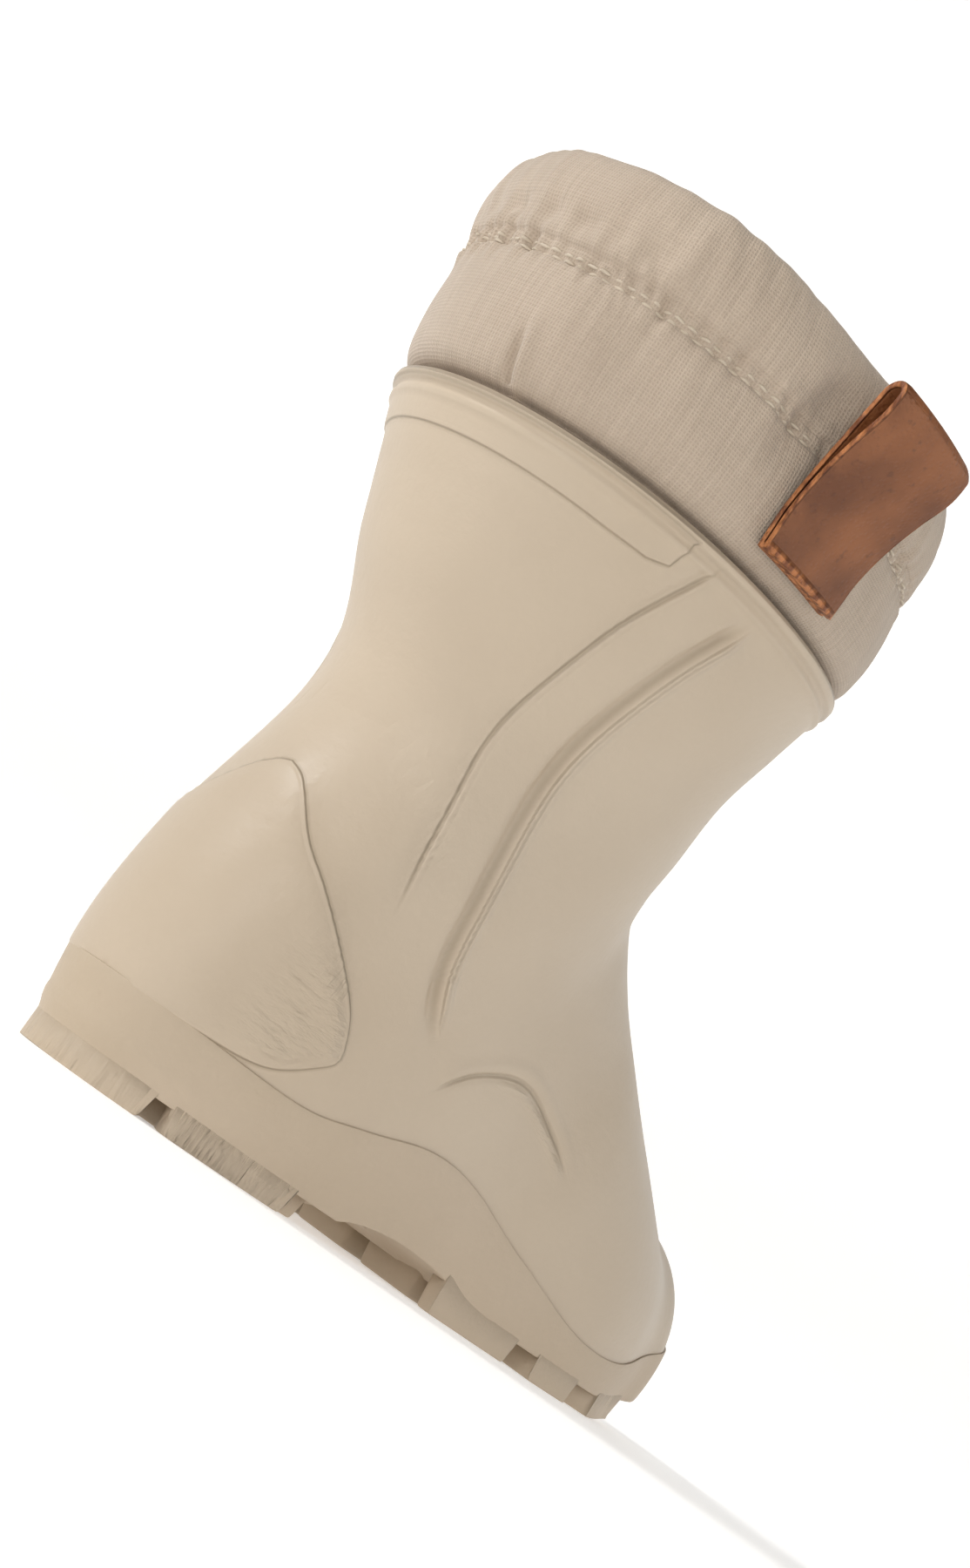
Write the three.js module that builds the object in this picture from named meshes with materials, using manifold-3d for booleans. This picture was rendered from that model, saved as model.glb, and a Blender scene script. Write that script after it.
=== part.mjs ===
// Child's winter boot, right foot: moulded EVA shell on an EVA sole unit, loose insole,
// soft woven cuff with a gathered top, and a folded leather pull tab.
// Millimetres. +Z is up, the toe points along -Y, the outer (lateral) side along -X.
import * as THREE from 'three';
import Module from 'manifold-3d';
import { mergeVertices } from 'three/addons/utils/BufferGeometryUtils.js';

const wasm = await Module();
wasm.setup();

// Foot of the boot
const soleLength = 214;
const heelShare = 0.4766; // of the sole's length, behind the middle that the tables count from
const ballWidth = 88;
const waistWidth = 62;
const heelWidth = 66;
const toeHeight = 47;
const instepHeight = 86;
const toeInflare = 10; // the toe leans to the big toe's side

// Shaft
const ankleWidth = 71;
const ankleBack = 89;
const ankleBackHeight = 92;
const throatFront = -8;
const rimHeight = 152;
const rimDepth = 126;
const rimWidth = 98;
const rimCentre = 51;
const shellWall = 3.2;

// Sole unit
const lugDepth = 5;
const toeSpring = 7;
const archRise = 3.5;
const padDraft = 0.9;
const heelBed = 17;
const ballBed = 10.5;
const sidewallStep = 0.7; // the sole's side stands this proud of the shell
const panelRise = 1.5;
const insoleThickness = 4;

// Steps in the shell's wall
const counterStep = 0.8;
const rimBand = 5;
const rimBandStep = 1;
const backBandStep = 0.5;
const ridgeWidth = 2;
const ridgeRise = 0.9;

// Cuff and pull tab
const cuffHeight = 45;
const cuffTilt = 4; // the cuff is this much taller at the back, and lower in front
const cuffTuck = 10;
const cuffThickness = 5;
const cuffTopDepth = 126;
const cuffTopWidth = 102;
const cuffTopBack = 8; // the top's middle lies this far behind the rim's
const cuffTopOut = 3; // and this far to the outer side
const tabWidth = 23;
const tabRise = 36;
const tabBack = 10; // the tab sits this far behind the collar's middle
const tabThickness = 3;
const tabLean = 6;
const tabStart = 4; // above the rim

const gap = 0.3;
const around = 36; // points round one section
const steps = 2; // loft steps from one row of the table to the next

// The toe's cap in front of the first row of the table: a quarter of a rounded curve in plan and in profile.
const capRings = 5;
const capPower = 2 / 2.3;
const capTip = 0.5; // the foremost point, as a share of the toe's height

// Each section is a plane hinged at the instep: it runs from a front or top point to a back or bottom point.
// fy, by: shares of the heel's distance from the middle. fz, bz: shares of the named height.
// w: share of the named half width. cx: share of the inflare. mid: where the section is widest, front 0 to back 1.
const half = soleLength * heelShare;
const toeEnd = half - soleLength;
const footRows = [
  { fy: -0.83, fz: 1.0, by: -0.8, bz: -0.3, w: 0.87, cx: 0.7, mid: 0.55, front: 2.2, back: 2.4 },
  { fy: -0.64, fz: 1.14, by: -0.58, bz: -0.32, w: 0.975, cx: 0.28, mid: 0.58, front: 2.1, back: 2.5 },
  { fy: -0.46, fz: 1.36, by: -0.34, bz: -0.32, w: 1.0, cx: 0.0, mid: 0.6, front: 2.0, back: 2.5 },
];
const instepRows = [
  { lead: -0.22, fz: 0.87, by: -0.06, bz: -0.28, w: 0.5, cx: -0.42, mid: 0.62, front: 2.0, back: 2.5 },
  { lead: -0.13, fz: 0.97, by: 0.24, bz: -0.24, w: 0.0, cx: -0.52, mid: 0.6, front: 2.0, back: 2.4 },
];
const heelRows = [
  { lead: -0.075, fz: 1.07, by: 0.56, bz: -0.28, w: 0.0, cx: -0.2, mid: 0.58, front: 2.0, back: 2.3 },
  { lead: -0.035, fz: 1.16, by: 0.88, bz: -0.2, w: 0.5, cx: 0.0, mid: 0.54, front: 2.0, back: 2.2 },
  { lead: -0.015, fz: 1.25, by: 1.0, bz: 0.3, w: 0.5, cx: 0.0, mid: 0.5, front: 2.05, back: 2.15 },
  { lead: -0.01, fz: 1.34, by: 0.985, bz: 0.95, w: 1.0, cx: 0.0, mid: 0.5, front: 2.1, back: 2.1 },
];
// rise: share of the way from the throat, or from the narrow of the ankle's back, to the rim.
const shaftRows = [
  { rise: 0.33, backRise: 0.0, w: 0.0 },
  { rise: 0.66, backRise: 0.5, w: 0.5 },
  { rise: 1.0, backRise: 1.0, w: 1.0 },
  { rise: 1.3, backRise: 1.2, w: 1.05 },
];

const mix = (a, b, t) => a + (b - a) * t;

function sectionTable() {
  const rows = [];
  for (const r of footRows) {
    rows.push([r.fy * half, r.fz * toeHeight, r.by * half, r.bz * toeHeight,
      r.w * ballWidth / 2, r.cx * toeInflare, r.mid, r.front, r.back]);
  }
  for (const r of instepRows) {
    rows.push([throatFront + r.lead * half, r.fz * instepHeight, r.by * half, r.bz * toeHeight,
      mix(waistWidth, ballWidth, r.w) / 2, r.cx * toeInflare, r.mid, r.front, r.back]);
  }
  for (const r of heelRows) {
    rows.push([throatFront + r.lead * half, r.fz * instepHeight, r.by * half, r.bz * toeHeight,
      mix(heelWidth, ankleWidth, r.w) / 2, r.cx * toeInflare, r.mid, r.front, r.back]);
  }
  const throatTop = heelRows[heelRows.length - 1].fz * instepHeight;
  const rimFront = rimCentre - rimDepth / 2;
  const rimBack = rimCentre + rimDepth / 2;
  for (const r of shaftRows) {
    rows.push([mix(throatFront, rimFront, r.rise), mix(throatTop, rimHeight, r.rise),
      mix(ankleBack, rimBack, r.backRise), mix(ankleBackHeight, rimHeight, r.backRise),
      mix(ankleWidth, rimWidth, r.w) / 2, 0, 0.5, 2.1, 2.1]);
  }
  const first = rows[0];
  const cap = [];
  for (let k = 0; k < capRings; k++) {
    const turn = Math.PI / 2 * (1 - k / capRings);
    const out = Math.sin(turn) ** capPower;
    const size = Math.max(Math.cos(turn), 0) ** capPower;
    const tipHeight = capTip * toeHeight;
    cap.push([mix(first[0], toeEnd, out), mix(tipHeight, first[1], size),
      mix(first[2], toeEnd, out), mix(tipHeight, first[3], size),
      first[4] * size, mix(first[5], toeInflare, out), first[6], first[7], first[8]]);
  }
  return [...cap, ...rows];
}

// Catmull-Rom curve through the rows, from the toe's tip to above the rim.
function splineRows(rows) {
  const at = (i) => rows[Math.min(Math.max(i, 0), rows.length - 1)];
  const out = [];
  for (let i = 0; i < rows.length - 1; i++) {
    for (let k = 0; k < steps; k++) {
      const t = k / steps;
      out.push(rows[i].map((p1, c) => {
        const p0 = i > 0 ? at(i - 1)[c] : 2 * p1 - at(1)[c];
        const p2 = at(i + 1)[c];
        const p3 = i + 2 < rows.length ? at(i + 2)[c] : 2 * p2 - p1;
        const square = 2 * p0 - 5 * p1 + 4 * p2 - p3;
        const cube = 3 * p1 - p0 - 3 * p2 + p3;
        return 0.5 * (2 * p1 + (p2 - p0) * t + square * t * t + cube * t * t * t);
      }));
    }
  }
  out.push(rows[rows.length - 1]);
  return out;
}

const sections = splineRows(sectionTable());

// One point of a section: turn 0 is its front or top, PI its back or bottom, and +X comes first.
function sectionPoint([fy, fz, by, bz, w, cx, mid, front, back], turn) {
  const c = Math.cos(turn);
  const s = Math.sin(turn);
  const power = 2 / (c > 0 ? front : back);
  const reach = Math.abs(c) ** power;
  const share = c > 0 ? mid * (1 - reach) : mid + (1 - mid) * reach;
  const side = Math.sign(s) * Math.abs(s) ** power;
  return new THREE.Vector3(cx + w * side, mix(fy, by, share), mix(fz, bz, share));
}

function skinGrid() {
  const grid = [];
  for (let i = 1; i < sections.length; i++) {
    const ring = [];
    for (let j = 0; j < around; j++) ring.push(sectionPoint(sections[i], j / around * Math.PI * 2));
    grid.push(ring);
  }
  return grid;
}

const skin = skinGrid();
const toeTip = new THREE.Vector3(toeInflare, toeEnd, capTip * toeHeight);

// Outward normals of the skin, from its neighbours along and round it.
const skinNormals = skin.map((ring, i) => ring.map((point, j) => {
  const ahead = skin[Math.min(i + 1, skin.length - 1)][j];
  const behind = i > 0 ? skin[i - 1][j] : toeTip;
  const along = new THREE.Vector3().subVectors(ahead, behind);
  const round = new THREE.Vector3().subVectors(ring[(j + 1) % around], ring[(j + around - 1) % around]);
  return round.cross(along).normalize();
}));

// A closed solid from rings of equal count, with a pole or a flat fan at each end.
function ringSolid(rings, startPole, endPole) {
  const count = rings[0].length;
  const points = rings.flat();
  const start = points.push(startPole) - 1;
  const end = points.push(endPole) - 1;
  const index = [];
  for (let j = 0; j < count; j++) {
    const n = (j + 1) % count;
    index.push(start, n, j);
    for (let i = 0; i < rings.length - 1; i++) {
      const a = i * count + j;
      const b = i * count + n;
      index.push(a, b, b + count, a, b + count, a + count);
    }
    const last = (rings.length - 1) * count;
    index.push(end, last + j, last + n);
  }
  return solidFrom(points, index);
}

function geometryFrom(points, index) {
  const geometry = new THREE.BufferGeometry();
  geometry.setAttribute('position', new THREE.Float32BufferAttribute(points.flatMap((p) => [p.x, p.y, p.z]), 3));
  geometry.setIndex(index);
  return geometry;
}

function solidFrom(points, index) {
  return toSolid(geometryFrom(points, index));
}

function toSolid(geometry) {
  geometry.deleteAttribute('normal');
  geometry.deleteAttribute('uv');
  const merged = mergeVertices(geometry, 1e-5);
  return new wasm.Manifold(new wasm.Mesh({
    numProp: 3,
    vertProperties: new Float32Array(merged.attributes.position.array),
    triVerts: new Uint32Array(merged.index.array),
  }));
}

// The body of the boot, grown or shrunk by an offset along its normals.
function bodySolid(offset) {
  const rings = skin.map((ring, i) => ring.map((p, j) => p.clone().addScaledVector(skinNormals[i][j], offset)));
  const last = rings[rings.length - 1];
  const top = last.reduce((sum, p) => sum.add(p), new THREE.Vector3()).divideScalar(around);
  const tip = toeTip.clone();
  tip.y -= offset;
  return ringSolid(rings, tip, top);
}

// A solid with a given outline in the side view (y, z), run across the boot from x = low to x = high.
const across = ballWidth;
function sidePrism(outline, low = -across, high = across) {
  const shape = new THREE.Shape(outline.map(([y, z]) => new THREE.Vector2(y, z)));
  const geometry = new THREE.ExtrudeGeometry(shape, { depth: high - low, bevelEnabled: false });
  geometry.applyMatrix4(new THREE.Matrix4().set(0, 0, 1, low, 1, 0, 0, 0, 0, 1, 0, 0, 0, 0, 0, 1));
  return toSolid(geometry);
}

// A symmetrical outline from behind (x, z), run from the middle of the boot out past the heel.
function backPrism(points) {
  const right = points.map(([x, z]) => new THREE.Vector2(x * heelWidth / 2, z * rimHeight));
  const left = points.slice(1).reverse().map(([x, z]) => new THREE.Vector2(-x * heelWidth / 2, z * rimHeight));
  const geometry = new THREE.ExtrudeGeometry(new THREE.Shape([...right, ...left]), { depth: soleLength, bevelEnabled: false });
  geometry.rotateX(Math.PI / 2);
  geometry.translate(0, soleLength, 0);
  return toSolid(geometry);
}

// Heights along the boot, each a smooth curve through a few stations.
function profile(stations) {
  const curve = new THREE.SplineCurve(stations.map(([share, z]) => new THREE.Vector2(share * half, z)));
  return curve.getPoints(profileSteps).map((p) => [p.x, p.y]);
}
const profileSteps = 22;
const past = 1.3; // profiles run on past the toe and heel

function heightAt(line, y) {
  for (let i = 1; i < line.length; i++) {
    if (y <= line[i][0]) {
      const [[y0, z0], [y1, z1]] = [line[i - 1], line[i]];
      return mix(z0, z1, (y - y0) / (y1 - y0));
    }
  }
  return line[line.length - 1][1];
}

// Ground line: flat under heel and ball, and lifted at the toe by its spring.
const springStart = -0.56 * half;
const ground = (y) => y > springStart ? 0 : toeSpring * ((springStart - y) / (springStart - toeEnd)) ** 2;
// Floor of the tread: a lug's depth above the ground, and higher at the arch.
const archStart = -0.02 * half;
const archEnd = 0.38 * half;
function treadFloor(y) {
  const t = (y - archStart) / (archEnd - archStart);
  const arch = t > 0 && t < 1 ? archRise * Math.sin(Math.PI * t) ** 0.6 : 0;
  return ground(y) + lugDepth + arch;
}

// Foot-bed and parting line between sole and shell, as the height above the ball's bed.
const bedDrop = heelBed - ballBed;
const bedLine = profile([
  [-past, ballBed + 0.9 * bedDrop], [-0.8, ballBed + 0.35 * bedDrop], [-0.5, ballBed], [-0.25, ballBed + 0.05 * bedDrop],
  [0.15, ballBed + 0.8 * bedDrop], [0.45, heelBed], [past, heelBed],
]);
const sideRise = 9.5; // how far the sole's side climbs above the bed at the arch
const partLine = profile([
  [-past, ballBed + 1.9 * sideRise], [-1.0, ballBed + 1.35 * sideRise], [-0.8, ballBed + 0.8 * sideRise],
  [-0.58, ballBed + 0.3 * sideRise], [-0.34, ballBed + 0.3 * sideRise], [-0.08, ballBed + 0.95 * sideRise],
  [0.12, ballBed + 1.6 * sideRise], [0.3, ballBed + 1.72 * sideRise], [0.5, ballBed + 1.25 * sideRise],
  [0.68, ballBed + 0.9 * sideRise], [1.0, ballBed + 0.98 * sideRise], [past, ballBed + 1.0 * sideRise],
]);

const farBelow = -toeHeight;
const farAbove = 2 * rimHeight;
const lineShift = (line, dz) => line.map(([y, z]) => [y, z + dz]);
const above = (line) => sidePrism([...line, [line[line.length - 1][0], farAbove], [line[0][0], farAbove]]);
const below = (line) => sidePrism([[line[0][0], farBelow], [line[line.length - 1][0], farBelow], ...[...line].reverse()]);

const treadLine = [];
const treadStations = 30;
for (let i = 0; i <= treadStations; i++) {
  const y = mix(-past * half, past * half, i / treadStations);
  treadLine.push([y, treadFloor(Math.max(y, toeEnd))]);
}

// Pads of the tread: centre, size and turn (degrees), as shares of half the ball's width and half the sole.
const acrossUnit = ballWidth / 2;
const pads = [
  { x: 0.64, y: -0.15, wide: 0.19, long: 0.2, turn: 22 },
  { x: 0.8, y: -0.415, wide: 0.27, long: 0.17, turn: 13 },
  { x: 0.73, y: -0.645, wide: 0.26, long: 0.15, turn: -14 },
  { x: 0.21, y: -0.155, wide: 0.39, long: 0.125, turn: 8 },
  { x: -0.4, y: -0.09, wide: 0.41, long: 0.125, turn: 9 },
  { x: -0.06, y: -0.262, wide: 1.04, long: 0.072, turn: 10 },
  { x: 0.46, y: -0.405, wide: 0.24, long: 0.075, turn: 10 },
  { x: -0.06, y: -0.362, wide: 0.46, long: 0.075, turn: 10 },
  { x: -0.54, y: -0.325, wide: 0.22, long: 0.072, turn: 10 },
  { x: -0.04, y: -0.458, wide: 0.82, long: 0.062, turn: 10 },
  { x: -0.07, y: -0.548, wide: 0.26, long: 0.052, turn: 10 },
  { x: -0.88, y: -0.08, wide: 0.21, long: 0.25, turn: 8 },
  { x: -0.89, y: -0.385, wide: 0.25, long: 0.165, turn: -2 },
  { x: -0.76, y: -0.64, wide: 0.25, long: 0.14, turn: 34 },
  { x: -0.03, y: 0.56, wide: 0.42, long: 0.07, turn: 0 },
  { x: -0.08, y: 0.47, wide: 0.32, long: 0.075, turn: 0 },
  { x: 0.49, y: 0.545, wide: 0.25, long: 0.08, turn: 8 },
  { x: 0.32, y: 0.42, wide: 0.22, long: 0.075, turn: -28 },
  { x: -0.57, y: 0.605, wide: 0.33, long: 0.085, turn: 4 },
  { x: -0.45, y: 0.46, wide: 0.22, long: 0.075, turn: 0 },
];

// A pad with drafted walls: its outline (x, y) shrinks by the draft from the tread's floor down to its face.
function draftedPad(outline, root, face, draft) {
  const centre = outline.reduce((s, [x, y]) => [s[0] + x / outline.length, s[1] + y / outline.length], [0, 0]);
  const shrink = ([x, y]) => {
    const [dx, dy] = [x - centre[0], y - centre[1]];
    const scale = Math.max(1 - draft / Math.hypot(dx, dy), 0.3);
    return [centre[0] + dx * scale, centre[1] + dy * scale];
  };
  return stackedSolid(outline, root, outline.map(shrink), face);
}

// A solid between an upper and a lower outline of equal count, whose heights are functions of y.
function stackedSolid(upper, upperZ, lower, lowerZ) {
  const points = [
    ...upper.map(([x, y]) => new THREE.Vector3(x, y, upperZ(y))),
    ...lower.map(([x, y]) => new THREE.Vector3(x, y, lowerZ(y))),
  ];
  const n = upper.length;
  const faces = THREE.ShapeUtils.triangulateShape(upper.map(([x, y]) => new THREE.Vector2(x, y)), []);
  const index = [];
  for (const [a, b, c] of faces) index.push(a, b, c, a + n, c + n, b + n);
  for (let i = 0; i < n; i++) {
    const k = (i + 1) % n;
    index.push(i, i + n, k + n, i, k + n, k);
  }
  return solidFrom(points, index);
}

const bite = 1.5; // how deep a pad's root reaches into the sole's body
const padRoot = (y) => treadFloor(y) + bite;

function padOutline({ x, y, wide, long, turn }) {
  const angle = THREE.MathUtils.degToRad(turn);
  const [hx, hy] = [wide * acrossUnit / 2, long * half / 2];
  return [[-hx, -hy], [hx, -hy], [hx, hy], [-hx, hy]].map(([u, v]) => [
    x * acrossUnit + u * Math.cos(angle) + v * Math.sin(angle),
    y * half - u * Math.sin(angle) + v * Math.cos(angle),
  ]);
}

// A curved bar of the tread between two angles, as an outline walked out and back.
function arcOutline(cx, cy, inner, outer, from, to, parts) {
  const point = (radius, t) => {
    const angle = THREE.MathUtils.degToRad(mix(from, to, t / parts));
    return [cx + radius * Math.cos(angle), cy + radius * Math.sin(angle)];
  };
  const outline = [];
  for (let i = 0; i <= parts; i++) outline.push(point(outer, i));
  for (let i = parts; i >= 0; i--) outline.push(point(inner, i));
  return outline;
}

// Heel: rings round a D-shaped pad, a slanted channel, and a solid outer segment with four windows.
const heelPoleX = -0.07 * acrossUnit;
const heelPoleY = 0.68 * half;
const heelRings = [[0.88, 1.12], [0.66, 0.76], [0.47, 0.56]]; // shares of half the heel's width
const heelUnit = heelWidth / 2 * 0.88;
const windowsCount = 4;
const windowDepth = 3;

// Where the tread's arcs start and end, in degrees counted from +X, and how far the windows stay inside theirs.
const ringSpan = [-2, 122];
const segmentSpan = [136, 183];
const heelPadSpan = [-20, 200];
const toeArcSpan = [-139, -41];
const crescentSpan = [-172, -25];
const windowMargins = [6, 12];

// Toe: a crescent, then arcs that repeat up the toe's spring.
const toePoleY = -0.37 * half;
const crescent = [0.62, 0.73]; // shares of half the ball's width
const toeArcs = 4;
const toeArcPitch = 0.135;

function treadSolid() {
  const parts = pads.map((pad) => draftedPad(padOutline(pad), padRoot, ground, padDraft));
  const arc = (cx, cy, inner, outer, [from, to], count) => parts.push(
    stackedSolid(arcOutline(cx, cy, inner - padDraft / 2, outer + padDraft / 2, from, to, count), padRoot,
      arcOutline(cx, cy, inner, outer, from + 1, to - 1, count), ground));
  for (const [inner, outer] of heelRings) {
    arc(heelPoleX, heelPoleY, inner * heelUnit, outer * heelUnit, ringSpan, 9);
  }
  arc(heelPoleX, heelPoleY, 0.42 * heelUnit, heelRings[0][1] * heelUnit, segmentSpan, 5);
  arc(heelPoleX, heelPoleY - 0.02 * half, 0.02 * heelUnit, 0.32 * heelUnit, heelPadSpan, 8);
  for (let k = 0; k < toeArcs; k++) {
    const inner = (crescent[1] + 0.09 + k * toeArcPitch) * acrossUnit;
    arc(0, toePoleY, inner, inner + 0.065 * acrossUnit, toeArcSpan, 9);
  }
  arc(-0.02 * acrossUnit, toePoleY, crescent[0] * acrossUnit, crescent[1] * acrossUnit, crescentSpan, 10);
  return wasm.Manifold.union(parts);
}

// Windows sunk into the heel's outer segment.
function heelWindows() {
  const depth = () => windowDepth;
  const [from, to] = [segmentSpan[0] + windowMargins[0], segmentSpan[1] - windowMargins[1]];
  const parts = [];
  for (let k = 0; k < windowsCount; k++) {
    const inner = mix(0.52, 0.94, k / windowsCount) * heelUnit;
    const outline = arcOutline(heelPoleX, heelPoleY, inner, inner + 0.07 * heelUnit, from, to, 3);
    parts.push(stackedSolid(outline, depth, outline, () => -bite));
  }
  return wasm.Manifold.union(parts);
}

// Tongue-shaped panel of the waist, raised from the tread's floor.
const waistPanel = [[0.11, 0.4], [-0.56, 0.41], [-0.36, 0.1], [-0.3, 0.07], [-0.2, 0.07], [-0.14, 0.1]];
function panelSolid() {
  const outline = waistPanel.map(([x, y]) => [x * acrossUnit, y * half]);
  const area = THREE.ShapeUtils.area(outline.map(([x, y]) => new THREE.Vector2(x, y)));
  if (area < 0) outline.reverse();
  return draftedPad(outline, padRoot, (y) => treadFloor(y) - panelRise, panelRise / 2);
}

// Outlines in the side view: y as a share of half the sole, z as a share of the rim's height.
const counterSide = [
  [0.65, 0.2], [0.652, 0.185], [0.665, 0.175], [0.76, 0.142], [0.85, 0.132], [1.2, 0.13], [1.2, 0.6],
  [0.86, 0.5], [0.8, 0.34], [0.7, 0.262], [0.655, 0.222],
];
// The counter from behind: x as a share of half the heel's width, z as a share of the rim's height.
const counterBack = [
  [0, 0.485], [0.18, 0.472], [0.34, 0.43], [0.5, 0.395], [0.66, 0.355], [0.82, 0.31], [1.3, 0.22], [1.3, 0.1],
];
const backBandOutline = [
  [0.78, 0.962], [0.78, 0.945], [0.82, 0.93], [0.9, 0.928], [1.0, 0.932], [1.3, 0.936], [1.3, 0.962],
];
const frontRidge = [
  [0.57, 0.945], [0.605, 0.84], [0.61, 0.71], [0.61, 0.59], [0.6, 0.46], [0.57, 0.38], [0.51, 0.32], [0.48, 0.3],
];
const backRidge = [[0.74, 0.96], [0.77, 0.84], [0.76, 0.7], [0.75, 0.57], [0.755, 0.46], [0.75, 0.4]];

const sideView = (points) => points.map(([y, z]) => [y * half, z * rimHeight]);

// A band of even width along a smooth line in the side view, tapering to nothing at its lower end.
function ridgeOutline(points, width) {
  const curve = new THREE.SplineCurve(sideView(points).map(([y, z]) => new THREE.Vector2(y, z)));
  const count = 3 * points.length;
  const left = [];
  const right = [];
  for (let i = 0; i <= count; i++) {
    const t = i / count;
    const p = curve.getPoint(t);
    const d = curve.getTangent(t);
    const side = width / 2 * Math.min(1, 4 * (1 - t) + 0.15);
    left.push([p.x - d.y * side, p.y + d.x * side]);
    right.unshift([p.x + d.y * side, p.y - d.x * side]);
  }
  return [...left, ...right];
}

function counterclockwise(outline) {
  const area = THREE.ShapeUtils.area(outline.map(([y, z]) => new THREE.Vector2(y, z)));
  return area < 0 ? [...outline].reverse() : outline;
}

const body = bodySolid(0);
const cavity = bodySolid(-shellWall).intersect(above(bedLine));
const rimLevel = [[-past * half, rimHeight], [2 * half, rimHeight]];
const rimBandLevel = lineShift(rimLevel, -rimBand);

function shellSolid() {
  const counterShape = sidePrism(counterclockwise(sideView(counterSide))).intersect(backPrism(counterBack));
  const counter = bodySolid(counterStep).intersect(counterShape);
  const ridged = bodySolid(ridgeRise);
  const ridges = [frontRidge, backRidge].map((line) =>
    ridged.intersect(sidePrism(counterclockwise(ridgeOutline(line, ridgeWidth)))));
  const band = bodySolid(rimBandStep).intersect(above(rimBandLevel));
  const backBand = bodySolid(backBandStep).intersect(sidePrism(counterclockwise(sideView(backBandOutline))));
  return wasm.Manifold.union([body, counter, band, backBand, ...ridges])
    .intersect(above(lineShift(partLine, gap)))
    .intersect(below(rimLevel))
    .subtract(cavity);
}

function outsoleSolid() {
  const side = bodySolid(sidewallStep).intersect(below(partLine)).intersect(above(treadLine)).subtract(cavity);
  const tread = treadSolid().subtract(heelWindows()).add(panelSolid());
  return side.add(tread.intersect(treadEdge()));
}

// The tread stays inside the sole's own plan outline, where the skin's lines pass the level of the pads' roots.
const edgeSpacing = 3.5;
function treadEdge() {
  const grown = skin.map((ring, i) => ring.map((p, j) => p.clone().addScaledVector(skinNormals[i][j], sidewallStep)));
  const excess = (p) => p.z - ground(p.y) - lugDepth - bite;
  const crossings = [];
  const test = (p, q) => {
    if (excess(p) > 0 !== excess(q) > 0) crossings.push(p.clone().lerp(q, excess(p) / (excess(p) - excess(q))));
  };
  for (let i = 0; i < grown.length; i++) {
    for (let j = 0; j < around; j++) {
      test(grown[i][j], grown[i][(j + 1) % around]);
      if (i > 0) test(grown[i - 1][j], grown[i][j]);
    }
  }
  crossings.sort((p, q) => Math.atan2(p.y, p.x) - Math.atan2(q.y, q.x));
  const outline = [];
  for (const p of crossings) {
    const last = outline[outline.length - 1];
    if (!last || Math.hypot(p.x - last[0], p.y - last[1]) > edgeSpacing) outline.push([p.x, p.y]);
  }
  return stackedSolid(outline, () => toeHeight, outline, () => farBelow);
}

function insoleSolid() {
  const fit = bodySolid(-shellWall - 2 * gap);
  return fit.intersect(above(lineShift(bedLine, gap))).intersect(below(lineShift(bedLine, gap + insoleThickness)));
}

// Cuff: a closed profile carried round the collar. up: share of the cuff's height; out: share of its thickness,
// counted from the shell's outer skin. Its lower end is tucked inside the shell's rim.
const tuckOut = -(shellWall + gap) / cuffThickness;
const tuckIn = tuckOut - 0.5;
const cuffProfile = [
  { up: 0, out: tuckOut },
  { up: 0.025, out: -0.2 },
  { up: 0.1, out: 0.22 },
  { up: 0.28, out: 0.42 },
  { up: 0.48, out: 0.3 },
  { up: 0.56, out: 0.12 },
  { up: 0.66, out: 0.38 },
  { up: 0.82, out: 0.4 },
  { up: 0.95, out: 0.0 },
  { up: 1.0, out: -0.5 },
  { up: 0.95, out: -0.95 },
  { up: 0.8, out: -0.9 },
  { up: 0.56, out: -0.75 },
  { up: 0.3, out: -0.8 },
  { up: 0.06, out: -1.1 },
];

// The skin's point and normal at a height, on the column of one turn, searched from the top down.
function skinAtHeight(j, z) {
  let i = skin.length - 2;
  while (i > 0 && skin[i][j].z > z) i--;
  const t = (z - skin[i][j].z) / (skin[i + 1][j].z - skin[i][j].z);
  return {
    point: skin[i][j].clone().lerp(skin[i + 1][j], t),
    normal: skinNormals[i][j].clone().lerp(skinNormals[i + 1][j], t),
  };
}

const rimSection = sections.find((s) => s[1] >= rimHeight && s[3] >= rimHeight);
const collarPower = 2 / 2.1;

// A point above the rim: at a share of the way from the rim to the cuff's top, moved out from the skin and up.
function collarPoint(turn, up, out, lift) {
  const plan = new THREE.Vector2(Math.sin(turn), -Math.cos(turn));
  const high = new THREE.Vector3(
    Math.sign(plan.x) * Math.abs(plan.x) ** collarPower * cuffTopWidth / 2 - cuffTopOut,
    rimCentre + cuffTopBack + Math.sign(plan.y) * Math.abs(plan.y) ** collarPower * cuffTopDepth / 2,
    rimHeight + cuffHeight + cuffTilt * plan.y,
  );
  const normal = new THREE.Vector3(plan.x / rimWidth, plan.y / rimDepth, 0).normalize();
  const point = sectionPoint(rimSection, turn).lerp(high, up).addScaledVector(normal, out);
  point.z += lift;
  return point;
}

function cuffSolid() {
  const points = [];
  const index = [];
  const tuck = (j, out) => {
    const { point, normal } = skinAtHeight(j, rimHeight - cuffTuck);
    return point.addScaledVector(normal, out * cuffThickness);
  };
  for (let j = 0; j < around; j++) {
    const turn = j / around * Math.PI * 2;
    points.push(tuck(j, tuckOut));
    for (const { up, out } of cuffProfile) points.push(collarPoint(turn, up, out * cuffThickness, gap));
    points.push(tuck(j, tuckIn));
  }
  const rows = cuffProfile.length + 2;
  for (let j = 0; j < around; j++) {
    for (let i = 0; i < rows; i++) {
      const a = j * rows + i;
      const b = j * rows + (i + 1) % rows;
      const c = ((j + 1) % around) * rows + i;
      const d = ((j + 1) % around) * rows + (i + 1) % rows;
      index.push(a, c, d, a, d, b);
    }
  }
  return solidFrom(points, index);
}

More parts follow.
